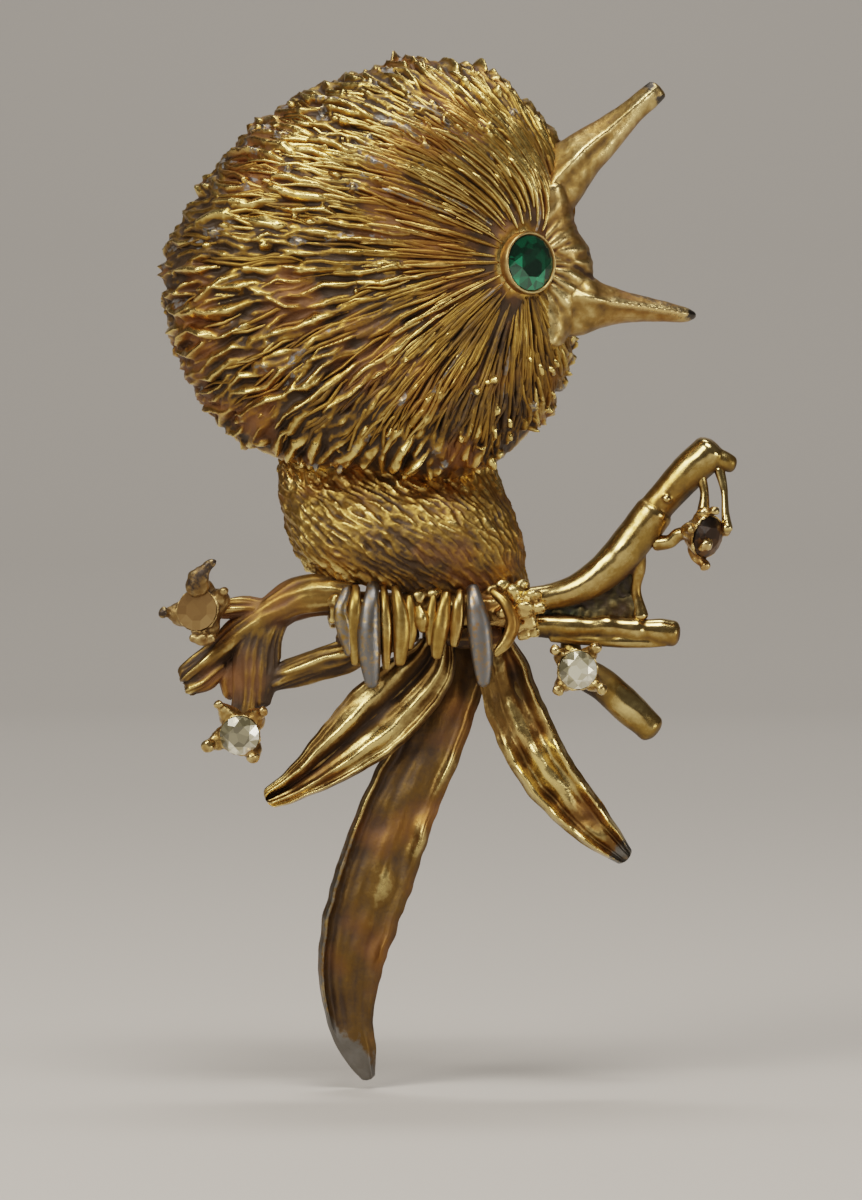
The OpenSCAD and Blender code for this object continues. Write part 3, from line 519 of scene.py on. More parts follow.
def head_relief(p, n):
    tone, worn = nearest(many, p)
    rough, patch = clouds(*(p.T * 1.5)), clouds(*(p.T * 0.16))
    bald = ease(p[:, 1] - back_y + 1)
    away = np.hypot(p[:, 0] - eye_x, p[:, 2] - eye_z)
    near = 0.2 * ease((8.5 - away) / 6)
    worn *= ease((clouds(*(p.T * 0.6)) + 0.25) / 0.3) * ease((away - 4) / 3)
    hollow = ease((n[:, 1] - 0.05) / 0.2)
    tone = mix(0.29 + 0.4 * (tone - 0.8) + 0.12 * patch - near, 0.46 + 0.1 * patch, hollow) + 0.05 * rough
    return 0.05 * rough, tone, worn * (1 - bald) * (1 - hollow)


head = cast(bm, "head", head_gilt, head_relief, voxel=0.115, soften=1, gain=4.2, thin=0.34)
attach(head, "brooch")
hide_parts("head_shell")
bm = new_mesh()
flock(bm, fine_lines)
head_lines = piece(bm, "head_lines", head_gilt)
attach(head_lines, "brooch")


# The eye's bezel: a thin strip of gilt metal bent into a collar, soldered to the flat beside the beak and
# rubbed over the edge of the stone.
eye_y, eye_sunk = -9.62, 0.2
eye_axis = Vector((math.sin(eye_turn), -math.cos(eye_turn), 0))
eye_seat = Vector((eye_x, eye_y, eye_z)) * mm - eye_axis * eye_sunk * mm
collar_r, collar_bore = 2.28, 0.9


# Turns what was made upright to its axis, and sets it on its base
def aim(bm, verts, base, axis):
    bmesh.ops.transform(bm, matrix=axis.to_track_quat("Z", "Y").to_matrix().to_4x4(), verts=verts)
    bmesh.ops.translate(bm, vec=base, verts=verts)


# A turned ring: a closed profile of radius, height and crest spun about the axis
def turned(bm, profile, base, axis):
    crest = bm.verts.layers.float["crest"]
    before = set(bm.verts)
    made = [bm.verts.new((r * mm, 0, h * mm)) for r, h, c in profile]
    for v, (r, h, c) in zip(made, profile):
        v[crest] = c
    edges = [bm.edges.new((a, b)) for a, b in zip(made, made[1:] + made[:1])]
    bmesh.ops.spin(bm, geom=made + edges, axis=(0, 0, 1), cent=(0, 0, 0), angle=math.tau, steps=64,
                   use_merge=True)
    ring = [v for v in bm.verts if v not in before]
    aim(bm, ring, base, axis)


bm = new_mesh()
turned(bm, [(collar_r, -0.3, 0.3), (collar_r + 0.05, 0.3, 0.4), (collar_r + 0.04, 0.66, 0.55),
            (collar_r - 0.02, 0.9, 0.7), (collar_r - 0.09, 0.98, 0.85), (collar_r - 0.18, 0.95, 0.7),
            (collar_r - 0.25, 0.82, 0.2), (collar_r - 0.32, 0.35, 0.05), (collar_bore, 0.3, 0),
            (collar_bore, -0.3, 0)], eye_seat, eye_axis)
bezel_gilt = gilding("bezel_gilt", (0.03, 0.015, 0.005), (0.34, 0.20, 0.06), (0.80, 0.60, 0.27),
                     shine=0.28, grain=0.15)
eye_collar = piece(bm, "eye_collar", bezel_gilt)
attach(eye_collar, "brooch")
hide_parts("eye_bezel")


# The eye: a round faceted stone of green glass, foiled behind, its lower facets painted lighter as painted
# light. It lies in the bezel, held by the edge that is rubbed over it.
eye_r, eye_lift = 2.02, 0.76


# The stone's corners lie in rings, from its flat table over its girdle to its point
def cut_stone(bm, r, base, axis, crown, below):
    made = []
    rings = ((8, r * 0.56, crown, 22.5), (8, r * 0.80, crown * 0.62, 0), (16, r, 0.1, 11.25),
             (16, r, 0.0, 11.25), (8, r * 0.52, -below * 0.55, 0), (8, r * 0.2, -below, 22.5))
    for count, radius, h, twist in rings:
        ring = bmesh.ops.create_circle(bm, segments=count, radius=radius * mm)["verts"]
        bmesh.ops.rotate(bm, verts=ring, cent=(0, 0, 0), matrix=Matrix.Rotation(math.radians(twist), 3, "Z"))
        bmesh.ops.translate(bm, verts=ring, vec=(0, 0, h * mm))
        made += ring
    bmesh.ops.delete(bm, geom=bm.edges[:], context="EDGES_FACES")
    bmesh.ops.convex_hull(bm, input=made)
    bmesh.ops.dissolve_limit(bm, angle_limit=0.01, verts=bm.verts[:], edges=bm.edges[:])
    aim(bm, bm.verts[:], base, axis)


# Foiled glass: each facet has its own depth of colour, painted light that the stone sets, and each patch of
# the facets seen through it from behind adds a random share, under a clear polished coat
def glass(name, dark, mid, bright, coat=0.6, polish=0.03, rough=0.15, foil=0.0, gloss=0.5, spread=0.45):
    m, shader, add, link = surface(name)
    behind = add("TexVoronoi", {"Scale": 1300})
    link(add("TexCoord").outputs["Object"], behind.inputs["Vector"])
    split = add("SeparateColor")
    link(behind.outputs["Color"], split.inputs["Color"])
    facet_painted_light_and_tone = add("Attribute")
    facet_painted_light_and_tone.attribute_name = "facet_painted_light_and_tone"
    tone = add("Math")
    tone.operation = "MULTIPLY_ADD"
    link(split.outputs["Red"], tone.inputs[0])
    tone.inputs[1].default_value = spread
    link(facet_painted_light_and_tone.outputs["Fac"], tone.inputs[2])
    ramp = ramp_of(add, (0.18, dark), (1.0, bright), (0.6, mid))
    link(tone.outputs[0], ramp.inputs["Fac"])
    link(ramp.outputs["Color"], shader.inputs["Base Color"])
    for key, value in (("Metallic", foil), ("Roughness", rough), ("Specular IOR Level", gloss),
                       ("Coat Weight", coat), ("Coat Roughness", polish), ("Coat IOR", 1.6)):
        shader.inputs[key].default_value = value
    return m


# A stone whose facets are painted lighter, as painted light through the glass: all of them by one amount,
# more towards the side that a given direction points to, and each by a random share
def stone(name, r, base, axis, crown, below, material, seed, painted_light_side, painted_light):
    bm = bmesh.new()
    cut_stone(bm, r, base, axis, crown, below)
    mesh = mesh_of(bm, name)
    mesh.materials.append(material)
    tones = mesh.attributes.new("facet_painted_light_and_tone", "FLOAT", "FACE")
    pick = random.Random(seed)
    for face in mesh.polygons:
        side = (face.center - base).dot(Vector(painted_light_side).normalized()) / (r * mm)
        tones.data[face.index].value = min(1.0, max(0.0, painted_light + 0.6 * side + pick.uniform(-0.25, 0.25)))
    return placed(name, mesh)


green_glass = glass("green_glass", (0.0006, 0.011, 0.005), (0.0015, 0.06, 0.026), (0.015, 0.33, 0.145),
                    coat=0.4)
eye_gem = stone("eye_gem", eye_r, eye_seat + eye_axis * eye_lift * mm, eye_axis, crown=0.45, below=0.4,
                material=green_glass, seed=3, painted_light_side=(-0.3, 0, -1), painted_light=0.1)
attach(eye_gem, "brooch")
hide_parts("eye_stone")


# The face and the beak: a smooth swelling between the eye and the mouth that runs out into two horns, wide
# open, cast in one and soldered to the head. Each horn has a ridge along it and dark worn edges at its tip.
def spine(stops, steps):
    p = np.array(stops, float)
    q = np.vstack([2 * p[0] - p[1], p, 2 * p[-1] - p[-2]])
    u = np.linspace(0, 1, steps, endpoint=False)[:, None]
    return np.vstack([curve(*four, u) for four in zip(q, q[1:], q[2:], q[3:])] + [p[-1:]])


# Closes the two ends of rows of points, each with a dome that stands out by its own amount
def capped(points, crest, worn, first, last):
    k = np.array([0.94, 0.77, 0.45, 0])
    rows, around = points.shape[:2]

    def cap(ring, inner, bulge):
        middle = ring.mean(0)
        out = middle - inner.mean(0)
        out *= bulge / np.linalg.norm(out)
        return middle + (ring - middle) * k[:, None, None] + out * np.sqrt(1 - k * k)[:, None, None]

    def longer(values):
        return np.pad(np.broadcast_to(values, (rows, around)), ((4, 4), (0, 0)), mode="edge")

    joined = [cap(points[0], points[1], first)[::-1], points, cap(points[-1], points[-2], last)]
    return np.concatenate(joined), longer(crest), longer(worn)


# Soft marks in the front view: a streak along a line, and a round dab
def streak(points, a, b, wide):
    a, b = np.array(a), np.array(b)
    p = points[..., [0, 2]] - a
    t = np.clip(p @ (b - a) / ((b - a) @ (b - a)), 0, 1)
    return hump(np.linalg.norm(p - t[..., None] * (b - a), axis=-1), 0, wide)


def dab(points, x, z, wide):
    return hump(np.hypot(points[:, 0] - x, points[:, 2] - z), 0, wide)


# Pairs are the upper and the lower edge, in x and z, and the half depth there
upper_pairs = [(12.5, 7.4, 13.4, 1.8, 1.4), (13.5, 8.7, 14.6, 3.4, 1.8), (14.6, 9.5, 15.7, 4.9, 1.9),
               (15.9, 10.3, 17.0, 7.0, 1.5), (17.3, 11.1, 18.3, 8.5, 1.15), (18.9, 12.15, 20.0, 10.6, 0.95),
               (20.3, 13.3, 21.4, 11.95, 0.78), (20.85, 13.75, 22.0, 12.55, 0.66)]
lower_pairs = [(14.2, 0.2, 14.0, -4.9, 1.2), (15.9, 0.0, 15.3, -5.05, 1.8), (16.7, -0.5, 16.5, -4.75, 1.95),
               (17.4, -1.1, 17.3, -4.4, 1.7), (18.9, -1.65, 18.7, -4.1, 1.35),
               (20.5, -2.1, 20.4, -3.95, 1.05), (22.2, -2.5, 22.2, -3.97, 0.8),
               (23.5, -2.9, 23.5, -3.95, 0.6), (24.0, -3.15, 24.0, -3.75, 0.45)]
face_x, face_y, face_depth, face_front, crease_front = 13.6, -5.8, 2.9, -5.6, -5.5
face_edge = [(5.8, 15.0), (4.6, 15.2), (3.6, 15.3), (2.6, 15.7), (1.5, 16.4), (0.2, 16.7), (-0.5, 16.7),
             (-2, 16.4), (-3.5, 15.8), (-5, 15.0), (-5.6, 14.6)]
beak_y, beak_lean = -6.4, 0.7
mouth_corner, mouth_start = (16.7, -0.75), (13.9, 0.95)
upper_ridge, lower_ridge = ((15.4, 5.6), (20.9, 12.75)), ((16.2, -2.2), (23.6, -3.4))
upper_tip, lower_tip, lower_edge = ((20.75, 13.45), (21.8, 12.4)), (24.0, -3.4), (19.5, -1.85)
bm = new_mesh()
line = spine(face_edge, 5)
a = np.linspace(0, math.tau, 48, endpoint=False)
wide = (line[:, 1:] - face_x) * np.sign(np.cos(a)) * np.abs(np.cos(a)) ** 0.85
deep = face_depth * np.sign(np.sin(a)) * np.abs(np.sin(a)) ** 0.95
swelling = np.stack([face_x + wide, face_y - deep + 0 * wide, line[:, :1] + 0 * wide], 2)
skin(bm, *capped(swelling, crest=0.5, worn=0.0, first=0.5, last=0.5))
for pairs, ridge in ((upper_pairs, 0.15), (lower_pairs, 0.1)):
    line = spine(pairs, 8)
    top, low = line[:, None, 0:2], line[:, None, 2:4]
    flat = low + (top - low) * (0.5 + 0.5 * np.cos(a))[:, None]
    along = np.linspace(0, 1, len(line))[:, None]
    keel = hump(np.cos(a), ridge, 0.25) * (np.sin(a) > 0)
    depth = line[:, 4:5] * np.abs(np.sin(a)) ** 0.85 * np.sign(np.sin(a)) * (1 + 0.3 * keel)
    horn = np.stack([flat[..., 0], beak_y + beak_lean * along - depth, flat[..., 1]], 2)
    skin(bm, *capped(horn, crest=0.5, worn=0.0, first=0.3, last=0.3))


# The face's tone: painted light, lighter where it faces the front, painted highlights along the beak's ridges
# and painted shade in the mouth's crease; the dark tips and the lower edge are wear
def face_relief(p, n):
    crease = streak(p, mouth_start, mouth_corner, 0.22) * (p[:, 1] < crease_front)
    dents = clouds(*(p.T * 0.8)) + 0.5 * clouds(*(p.T * 2.1))
    front = p[:, 1] < face_front
    ridges = np.maximum(streak(p, *upper_ridge, 0.35), streak(p, *lower_ridge, 0.35)) * front
    ridges *= ease((p[:, 0] - 15.9) / 2.4)
    x, z = p[:, 0] - eye_x, p[:, 2] - eye_z
    away = np.hypot(x, z)
    strokes = clouds(np.arctan2(z, x) * 8, away * 0.4, 3.0) * ease((7.5 - away) / 4) * front
    tips = sum(dab(p, *tip, 0.55) for tip in (*upper_tip, lower_tip))
    edge_worn = 0.6 * streak(p, lower_edge, lower_tip, 0.28)
    high = 0.04 * dents - 0.15 * crease + 0.12 * ridges + 0.22 * strokes
    tone = 0.28 + 0.28 * np.abs(n[:, 1]) + 0.2 * dents - 0.2 * crease + 0.3 * ridges + 0.35 * strokes
    return high, tone, np.maximum(1.1 * tips, edge_worn)


face_gilt = gilding("face_gilt", (0.04, 0.019, 0.006), (0.34, 0.20, 0.06), (0.82, 0.60, 0.26),
                    grey=(0.07, 0.06, 0.05), shine=0.26, grain=0.3, copper=0.3)
face = cast(bm, "face_and_beak", face_gilt, face_relief, voxel=0.12, soften=4)
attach(face, "brooch")
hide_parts("upper_beak", "lower_beak")

# The breast: a hollow casting, open behind, whose neck goes up under the lifted rim of the head. It is cast
# with short dense fur that slants down to the right and ends in a ragged skirt over the perch.
head_low, body_half, body_depth, body_wall = -15.3, 8.4, 6.2, 1.3
# Rows down the breast: height against the head's lowest point, and the shares of its half width and depth
body_rows = [(3.7, 0.80, 0.40), (1.8, 0.91, 0.43), (0.2, 0.94, 0.52), (-1.2, 0.97, 0.66), (-2.4, 0.99, 0.85),
             (-3.6, 1, 0.96), (-4.6, 1, 1), (-5.6, 0.98, 1), (-6.5, 0.95, 0.92), (-7.3, 0.94, 0.78),
             (-8.3, 0.93, 0.6)]
drop, half_share, depth_share = np.array(body_rows).T
body_top, body_long = 3.7, 8.3
breast_middle, lower_shade_x, lower_shade_z = [2.5, back_y + 2, -19], 5.0, -21.4


def on_breast(a, z, less=0.0):
    d = -(z - head_low)
    half = body_half * np.interp(d, -drop, half_share) - less
    depth = np.maximum(0.02, body_depth * np.interp(d, -drop, depth_share) - less)
    lean = 1.5 + 2.5 * np.maximum(0, d) / body_long
    return np.stack([lean + half * np.cos(a), back_y - depth * np.abs(np.sin(a)) ** 0.8, z + 0 * a], -1)


def breast_normal(a, z):
    across = on_breast(a + 0.02, z) - on_breast(a - 0.02, z)
    n = np.cross(across, on_breast(a, z + 0.1) - on_breast(a, z - 0.1))
    n /= np.linalg.norm(n, axis=-1)[..., None] + 1e-9
    return n * np.sign(np.sum(n * (on_breast(a, z) - breast_middle), -1))[..., None]


# The skirt's edge: high on the left, down to the perch on the right
def skirt(a):
    return head_low - body_long + 1.7 * ease((a / math.pi - 0.45) / 0.5)


a = np.linspace(0, math.pi, 61)
z = head_low + body_top + (skirt(a) - head_low - body_top) * np.linspace(0, 1, 49)[:, None]
outer, inner = on_breast(a + 0 * z, z), on_breast(a + 0 * z, z, body_wall)
tufts = clouds(a * 9, z * 0.9 + a * 2, 2.0)
outer += breast_normal(a + 0 * z, z) * (0.25 * tufts * np.sin(a))[..., None]
ring = np.concatenate([outer, inner[:, ::-1]], 1)
middle = (ring + ring[:, ::-1]) / 2
breast_gilt = gilding("breast_gilt", (0.045, 0.022, 0.006), (0.31, 0.175, 0.04), (0.80, 0.57, 0.21),
                      shine=0.24, rub=0.1, copper=0.45)
bm = new_mesh()
skin(bm, np.concatenate([middle[:1], ring, middle[-1:]]))
many = []
fur_steps = np.array([0, 0.12, 0.4, 0.7, 0.92, 1])
fur_top, fur_rows = head_low + 1.6, 25
for row in range(fur_rows):
    a0 = math.pi * 0.985
    while a0 > 0.04:
        side = a0 / math.pi
        z0 = mix(fur_top, float(skirt(a0)) + 0.1, row / (fur_rows - 0.5)) + rng.uniform(-0.25, 0.25)
        length = rng.uniform(1.5, 2.7)
        slant = math.radians(mix(16, 50, float(ease(side / 0.5)))) * rng.uniform(0.7, 1.25)
        path_a = a0 - length * math.sin(slant) * fur_steps / 7.4 + 0.02 * np.sin(fur_steps * 5 + row)
        path_a = np.clip(path_a, 0.03, math.pi)
        path_z = np.maximum(z0 - length * math.cos(slant) * fur_steps, skirt(path_a) - 0.35 * fur_steps)
        points = on_breast(path_a, path_z)
        many.append(lock(points, breast_normal(path_a, path_z), fur_steps, half=rng.uniform(0.13, 0.26),
                         height=rng.uniform(0.16, 0.38), lift=rng.uniform(0, 0.1),
                         taper=rng.uniform(0.1, 0.5), tone=rng.uniform(0.7, 1.0)))
        a0 -= rng.uniform(0.05, 0.085)
flock(bm, many)


# The breast's tone: a painted highlight in a band round the top, painted shade below it, paint that lightens
# the shade under the head's rim at the neck, a copper glow low on the left, a painted highlight along the
# skirt's edge and random patches
def breast_relief(p, n):
    tone = nearest(many, p)[0]
    x, z = p[:, 0], p[:, 2]
    top_highlight_band = hump(z + 0.12 * (x - 2), head_low - 3.1, 1.3)
    lower_shade = hump(x, lower_shade_x, 3.6) * hump(z, lower_shade_z, 1.9)
    neck = ease((z - head_low + 1.6) / 0.8)
    hem_highlight = ease((4 - x) / 4) * ease((skirt(np.arccos(np.clip((x - 4) / 7.8, -1, 1))) + 1.0 - z) / 0.7)
    patch = clouds(*(p.T * 0.5))
    tone = (0.3 + 0.3 * (tone - 0.85) + 0.12 * top_highlight_band - 0.25 * lower_shade + 0.32 * neck + 0.35 * hem_highlight
            + 0.24 * patch)
    return 0.06 * clouds(*(p.T * 1.8)), tone, 0 * x


breast = cast(bm, "breast", breast_gilt, breast_relief, voxel=0.1, soften=1, gain=3.4)
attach(breast, "brooch")
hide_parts("body_shell")

# The perch: a gilt cast stick under the breast, rough as bark, that the toes close round. Little nuggets of
# metal sit on it where the right limbs and the breast are soldered on.
perch_y, perch_z, nugget_ring = -6.0, -25.11, 1.5


# The sideways and forward directions along a line, and how far along it each point is
def sides_of(line, ref=(0, -1, 0)):
    heading = unit(np.gradient(line[:, :3], axis=0))
    side = unit(np.cross(heading, ref))
    hops = np.linalg.norm(np.diff(line[:, :3], axis=0), axis=1)
    return side, np.cross(side, heading), np.concatenate([[0], np.cumsum(hops)])[:, None]


# A rod round a line of x, y, z and radius, whose ends stand out by a share of the radius
def rod(bm, line, around, ends=(0.9, 0.9), flat=1.0, relief=None, tone=0.52, worn=0.0, ref=(0, -1, 0)):
    side, front, run = sides_of(line, ref)
    a = np.linspace(0, math.tau, around, endpoint=False)
    bump = relief(run, a) if relief else np.zeros((len(line), around))
    r = line[:, 3:4] + bump
    points = (line[:, None, :3] + side[:, None] * (r * np.cos(a))[..., None]
              + front[:, None] * (flat * r * np.sin(a))[..., None])
    skin(bm, *capped(points, tone + 2 * bump, worn, line[0, 3] * ends[0], line[-1, 3] * ends[1]))


bark_gilt = gilding("bark_gilt", (0.036, 0.018, 0.006), (0.25, 0.143, 0.038), (0.78, 0.57, 0.22),
                    shine=0.24, grain=0.3, copper=0.4)
bm = new_mesh()
rod(bm, spine([(-2.6, perch_y, perch_z, 1.4), (1.5, perch_y, perch_z, 1.36), (5, perch_y, perch_z, 1.45),
               (8.5, perch_y, perch_z, 1.36), (12.4, perch_y, perch_z, 1.56)], 12),
    around=32, ends=(0.1, 0.1))
# Nuggets on its front, in x and z with their radius
nuggets = [(10.8, -23.9, 0.75), (11.6, -25.0, 0.85), (11.0, -26.3, 0.7), (12.0, -26.0, 0.6),
           (9.9, -23.4, 0.5), (3.9, -24.2, 0.6), (5.0, -24.0, 0.55), (-2.2, -24.4, 0.6),
           (12.2, -24.1, 0.6), (10.1, -25.2, 0.5), (9.1, -23.7, 0.45), (11.4, -23.3, 0.5),
           (12.7, -24.9, 0.5), (12.5, -26.7, 0.45), (11.7, -26.9, 0.45)]
for x, z, r in nuggets:
    y = perch_y - math.sqrt(max(0.2, nugget_ring ** 2 - (z - perch_z) ** 2))
    rod(bm, spine([(x - 0.25, y, z - 0.1, r * 0.8), (x, y - 0.1, z, r), (x + 0.25, y, z + 0.1, r * 0.8)], 4),
        around=16)


# The perch's tone: grooves of bark, and painted lighter towards the right end, painted light that lifts the
# shade among the nuggets
def perch_relief(p, n):
    grooves = clouds(p[:, 0] * 0.35, p[:, 1] * 1.5, p[:, 2] * 1.5) + 0.6 * clouds(*(p.T * 1.1))
    return 0.2 * grooves, 0.5 + 0.1 * grooves + 0.35 * ease((p[:, 0] - 8.5) / 2), 0 * grooves


perch_stick = cast(bm, "perch_stick", bark_gilt, perch_relief)
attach(perch_stick, "brooch")
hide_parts("perch")

# The feet: two bunches of cast toes bent over the perch, with a web behind them painted dark, painted shade
# in the gaps between the toes. The largest toe of each is rubbed bare to the grey metal, being the highest
# point there.
toe_bend, toe_shade_web_y = 2.21, -6.4
left_toes = [([(-1.35, -23.6), (-1.8, -25.1), (-1.55, -26.4), (-1.2, -28.2)], 0.6, 0.75, 0.55),
             ([(-0.7, -23.5), (-0.8, -25.5), (-0.75, -28.9)], 0.58, 0.8, 0.0),
             ([(0.55, -23.4), (0.3, -25.6), (0.25, -27.6), (0.45, -30.4)], 0.88, 0.75, 0.72),
             ([(1.3, -23.5), (1.5, -26), (1.5, -29.3)], 0.46, 0.9, 0.0),
             ([(2.2, -23.6), (2.6, -25.6), (2.65, -27.0), (2.5, -28.9)], 0.66, 0.8, 0.1),
             ([(3.2, -24.2), (3.35, -26), (3.2, -27.8)], 0.46, 0.8, 0.0),
             ([(3.9, -25.0), (4.1, -25.7), (4.2, -26.5)], 0.6, 1.0, 0.0)]
right_toes = [([(4.95, -24.2), (4.8, -25.8), (4.7, -27.5)], 0.46, 0.8, 0.0),
              ([(5.9, -24.0), (5.65, -25.6), (5.4, -26.8), (5.2, -28.4)], 0.66, 0.8, 0.1),
              ([(6.9, -23.8), (6.75, -25.4), (6.5, -27.6)], 0.52, 0.9, 0.0),
              ([(7.85, -23.6), (8.2, -25.6), (8.45, -27.6), (8.6, -30.3)], 0.9, 0.75, 0.72),
              ([(9.3, -23.8), (10.2, -24.7), (10.75, -26.1), (10.3, -27.4), (9.5, -28.3)], 0.5, 0.85, 0.1)]
toe_shade_webs = {"left_foot": [(-1.6, -27.2, 0.7), (1.0, -27.5, 0.9), (3.4, -26.9, 0.6)],
            "right_foot": [(4.8, -26.8, 0.6), (6.8, -27.1, 0.8), (9.2, -27.0, 0.7)]}


# Fine grooves along a rod, with broader lumps between
def grooved(seed, depth, strands=2.2, stretch=0.35):
    def relief(run, a):
        x, y = np.cos(a), np.sin(a)
        return depth * (clouds(x * strands + seed, y * strands, run * stretch)
                        + 0.5 * clouds(x * 0.8 + seed, y * 0.8, run * 0.9 + 40))
    return relief


# Each toe is a path in x and z, a half width, a share of that for its thickness, and how bare it is rubbed
def foot(name, toes, node, seed):
    bm = new_mesh()
    for n, (stops, half, flat, worn) in enumerate(toes):
        line = spine([(x, 0, z, half) for x, z in stops], 8)
        share = np.linspace(0, 1, len(line)) ** 1.2
        line[:, 3] *= np.sin(math.pi * (0.13 + 0.72 * share)) ** 0.7
        over = np.maximum(line[:, 2] - perch_z, 0)
        line[:, 1] = perch_y - np.sqrt(np.maximum(0.6, toe_bend ** 2 - over ** 2)) + 0.5 - half * 0.7
        grooves = grooved(seed + n * 3.7, depth=0.07, strands=1.6, stretch=0.5)
        rod(bm, line, around=24, flat=flat, relief=grooves, tone=0.55, worn=worn)
    # The web behind the toes is painted dark: painted shade in the gaps between them
    shade_web_line = spine([(x, toe_shade_web_y, z, r) for x, z, r in toe_shade_webs[node]], 8)
    rod(bm, shade_web_line, around=24, flat=0.6, relief=grooved(seed, depth=0.2), tone=0.12)
    foot_piece = piece(bm, name, foot_gilt)
    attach(foot_piece, "brooch")
    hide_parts(node)


foot_gilt = gilding("foot_gilt", (0.035, 0.016, 0.005), (0.33, 0.19, 0.045), (0.80, 0.58, 0.22),
                    grey=(0.16, 0.155, 0.15), shine=0.18, grain=0.15)
foot("left_toes", left_toes, "left_foot", seed=2.0)
foot("right_toes", right_toes, "right_foot", seed=50.0)

# The left branches: one casting, a limb that forks into a cut stub, a thick stem down to the lower stone, a
# twig to the upper stone and a twig back under the feet. Its bark is in grooves along each limb.
left_limbs = [
    [(-1.2, -6.0, -24.1, 1.45), (-2.8, -6.0, -24.0, 1.5), (-4.6, -6.0, -24.15, 1.6), (-6.3, -6.0, -25.0, 1.4),
     (-8.4, -5.9, -26.2, 1.25), (-10.4, -5.8, -27.6, 1.05), (-11.9, -5.7, -29.0, 0.95),
     (-13.1, -5.6, -30.0, 0.9)],
    [(-6.6, -6.0, -25.3, 0.9), (-8.4, -6.2, -24.9, 0.8), (-10.6, -6.3, -25.0, 0.75)],
    [(-7.6, -6.0, -25.8, 1.1), (-8.4, -6.0, -27.8, 1.15), (-8.65, -6.0, -29.7, 1.15),
     (-8.8, -6.0, -31.6, 1.05), (-9.05, -6.2, -33.4, 0.9)],
    [(-6.3, -6.0, -25.2, 0.9), (-7.2, -6.1, -27.2, 0.9), (-7.4, -6.1, -29.6, 0.95),
     (-7.6, -6.1, -31.9, 0.75)],
    [(-7.6, -6.0, -30.6, 0.8), (-5.7, -6.0, -29.8, 0.98), (-3.4, -6.0, -29.0, 1.1), (-1.4, -6.0, -28.5, 1.1),
     (0.6, -6.0, -27.4, 0.9)],
    [(-10.6, -5.7, -29.3, 0.6), (-11.9, -5.7, -30.4, 0.7), (-12.9, -5.6, -30.9, 0.6)],
    [(-9.4, -5.4, -28.3, 0.6), (-9.9, -5.3, -29.8, 0.9), (-9.8, -5.4, -31.2, 0.8)]]
left_lines = [spine(stops, 12) for stops in left_limbs]
fork_hollow_shade = (-10.0, -29.4, 0.9)
stem_left, stem_right, stem_top = -10.4, -5.8, -26.5
bm = new_mesh()
for line in left_lines:
    rod(bm, line, around=28, ends=(0.5, 0.6))


# Grooves along the nearest limb, faded where two limbs meet
def left_relief(p, n):
    best, second = np.full(len(p), 9.0), np.full(len(p), 9.0)
    grooves = np.zeros(len(p))
    for n_limb, line in enumerate(left_lines):
        away = np.linalg.norm(p[:, None] - line[None, :, :3], axis=2) - line[:, 3]
        i = away.argmin(1)
        near = away[np.arange(len(p)), i]
        heading = unit(np.gradient(line[:, :3], axis=0))[i]
        spoke = p - line[i, :3]
        side = np.cross(heading, (0, -1, 0))
        a = np.arctan2(-spoke[:, 1], np.sum(spoke * side, 1))
        run = np.sum(spoke * heading, 1) + i * np.linalg.norm(line[-1, :3] - line[0, :3]) / len(line)
        own = (clouds(np.cos(a) * 1.5 + 9 * n_limb, np.sin(a) * 1.5, run * 0.22)
               + 0.7 * clouds(np.cos(a) * 3.4 + 9 * n_limb, np.sin(a) * 3.4, run * 0.35))
        grooves = np.where(near < best, own, grooves)
        second = np.where(near < best, best, np.minimum(second, near))
        best = np.minimum(best, near)
    grooves *= 0.3 + 0.7 * ease((second - best) / 0.5)
    # Painted shade in the hollow of the fork
    hollow = dab(p, *fork_hollow_shade)
    lumps = clouds(*(p.T * 0.7))
    stem = ease((stem_top - p[:, 2]) / 1.5) * ease((stem_right - p[:, 0]) / 0.8)
    stem *= ease((p[:, 0] - stem_left) / 0.8)
    # Painted light: lighter where the bark faces the front and where it faces up; painted shade in the fork's
    # hollow; the stem darker
    tone = (0.07 + 0.24 * np.abs(n[:, 1]) + 0.1 * n[:, 2] + 0.26 * grooves + 0.15 * lumps - 0.5 * hollow
            - 0.2 * stem)
    return 0.24 * grooves + 0.16 * lumps, tone, 0 * lumps


left_branches = cast(bm, "left_branches", bark_gilt, left_relief)
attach(left_branches, "brooch")
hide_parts("left_limb", "left_flower_twig", "left_drop_twig", "left_under_twig")

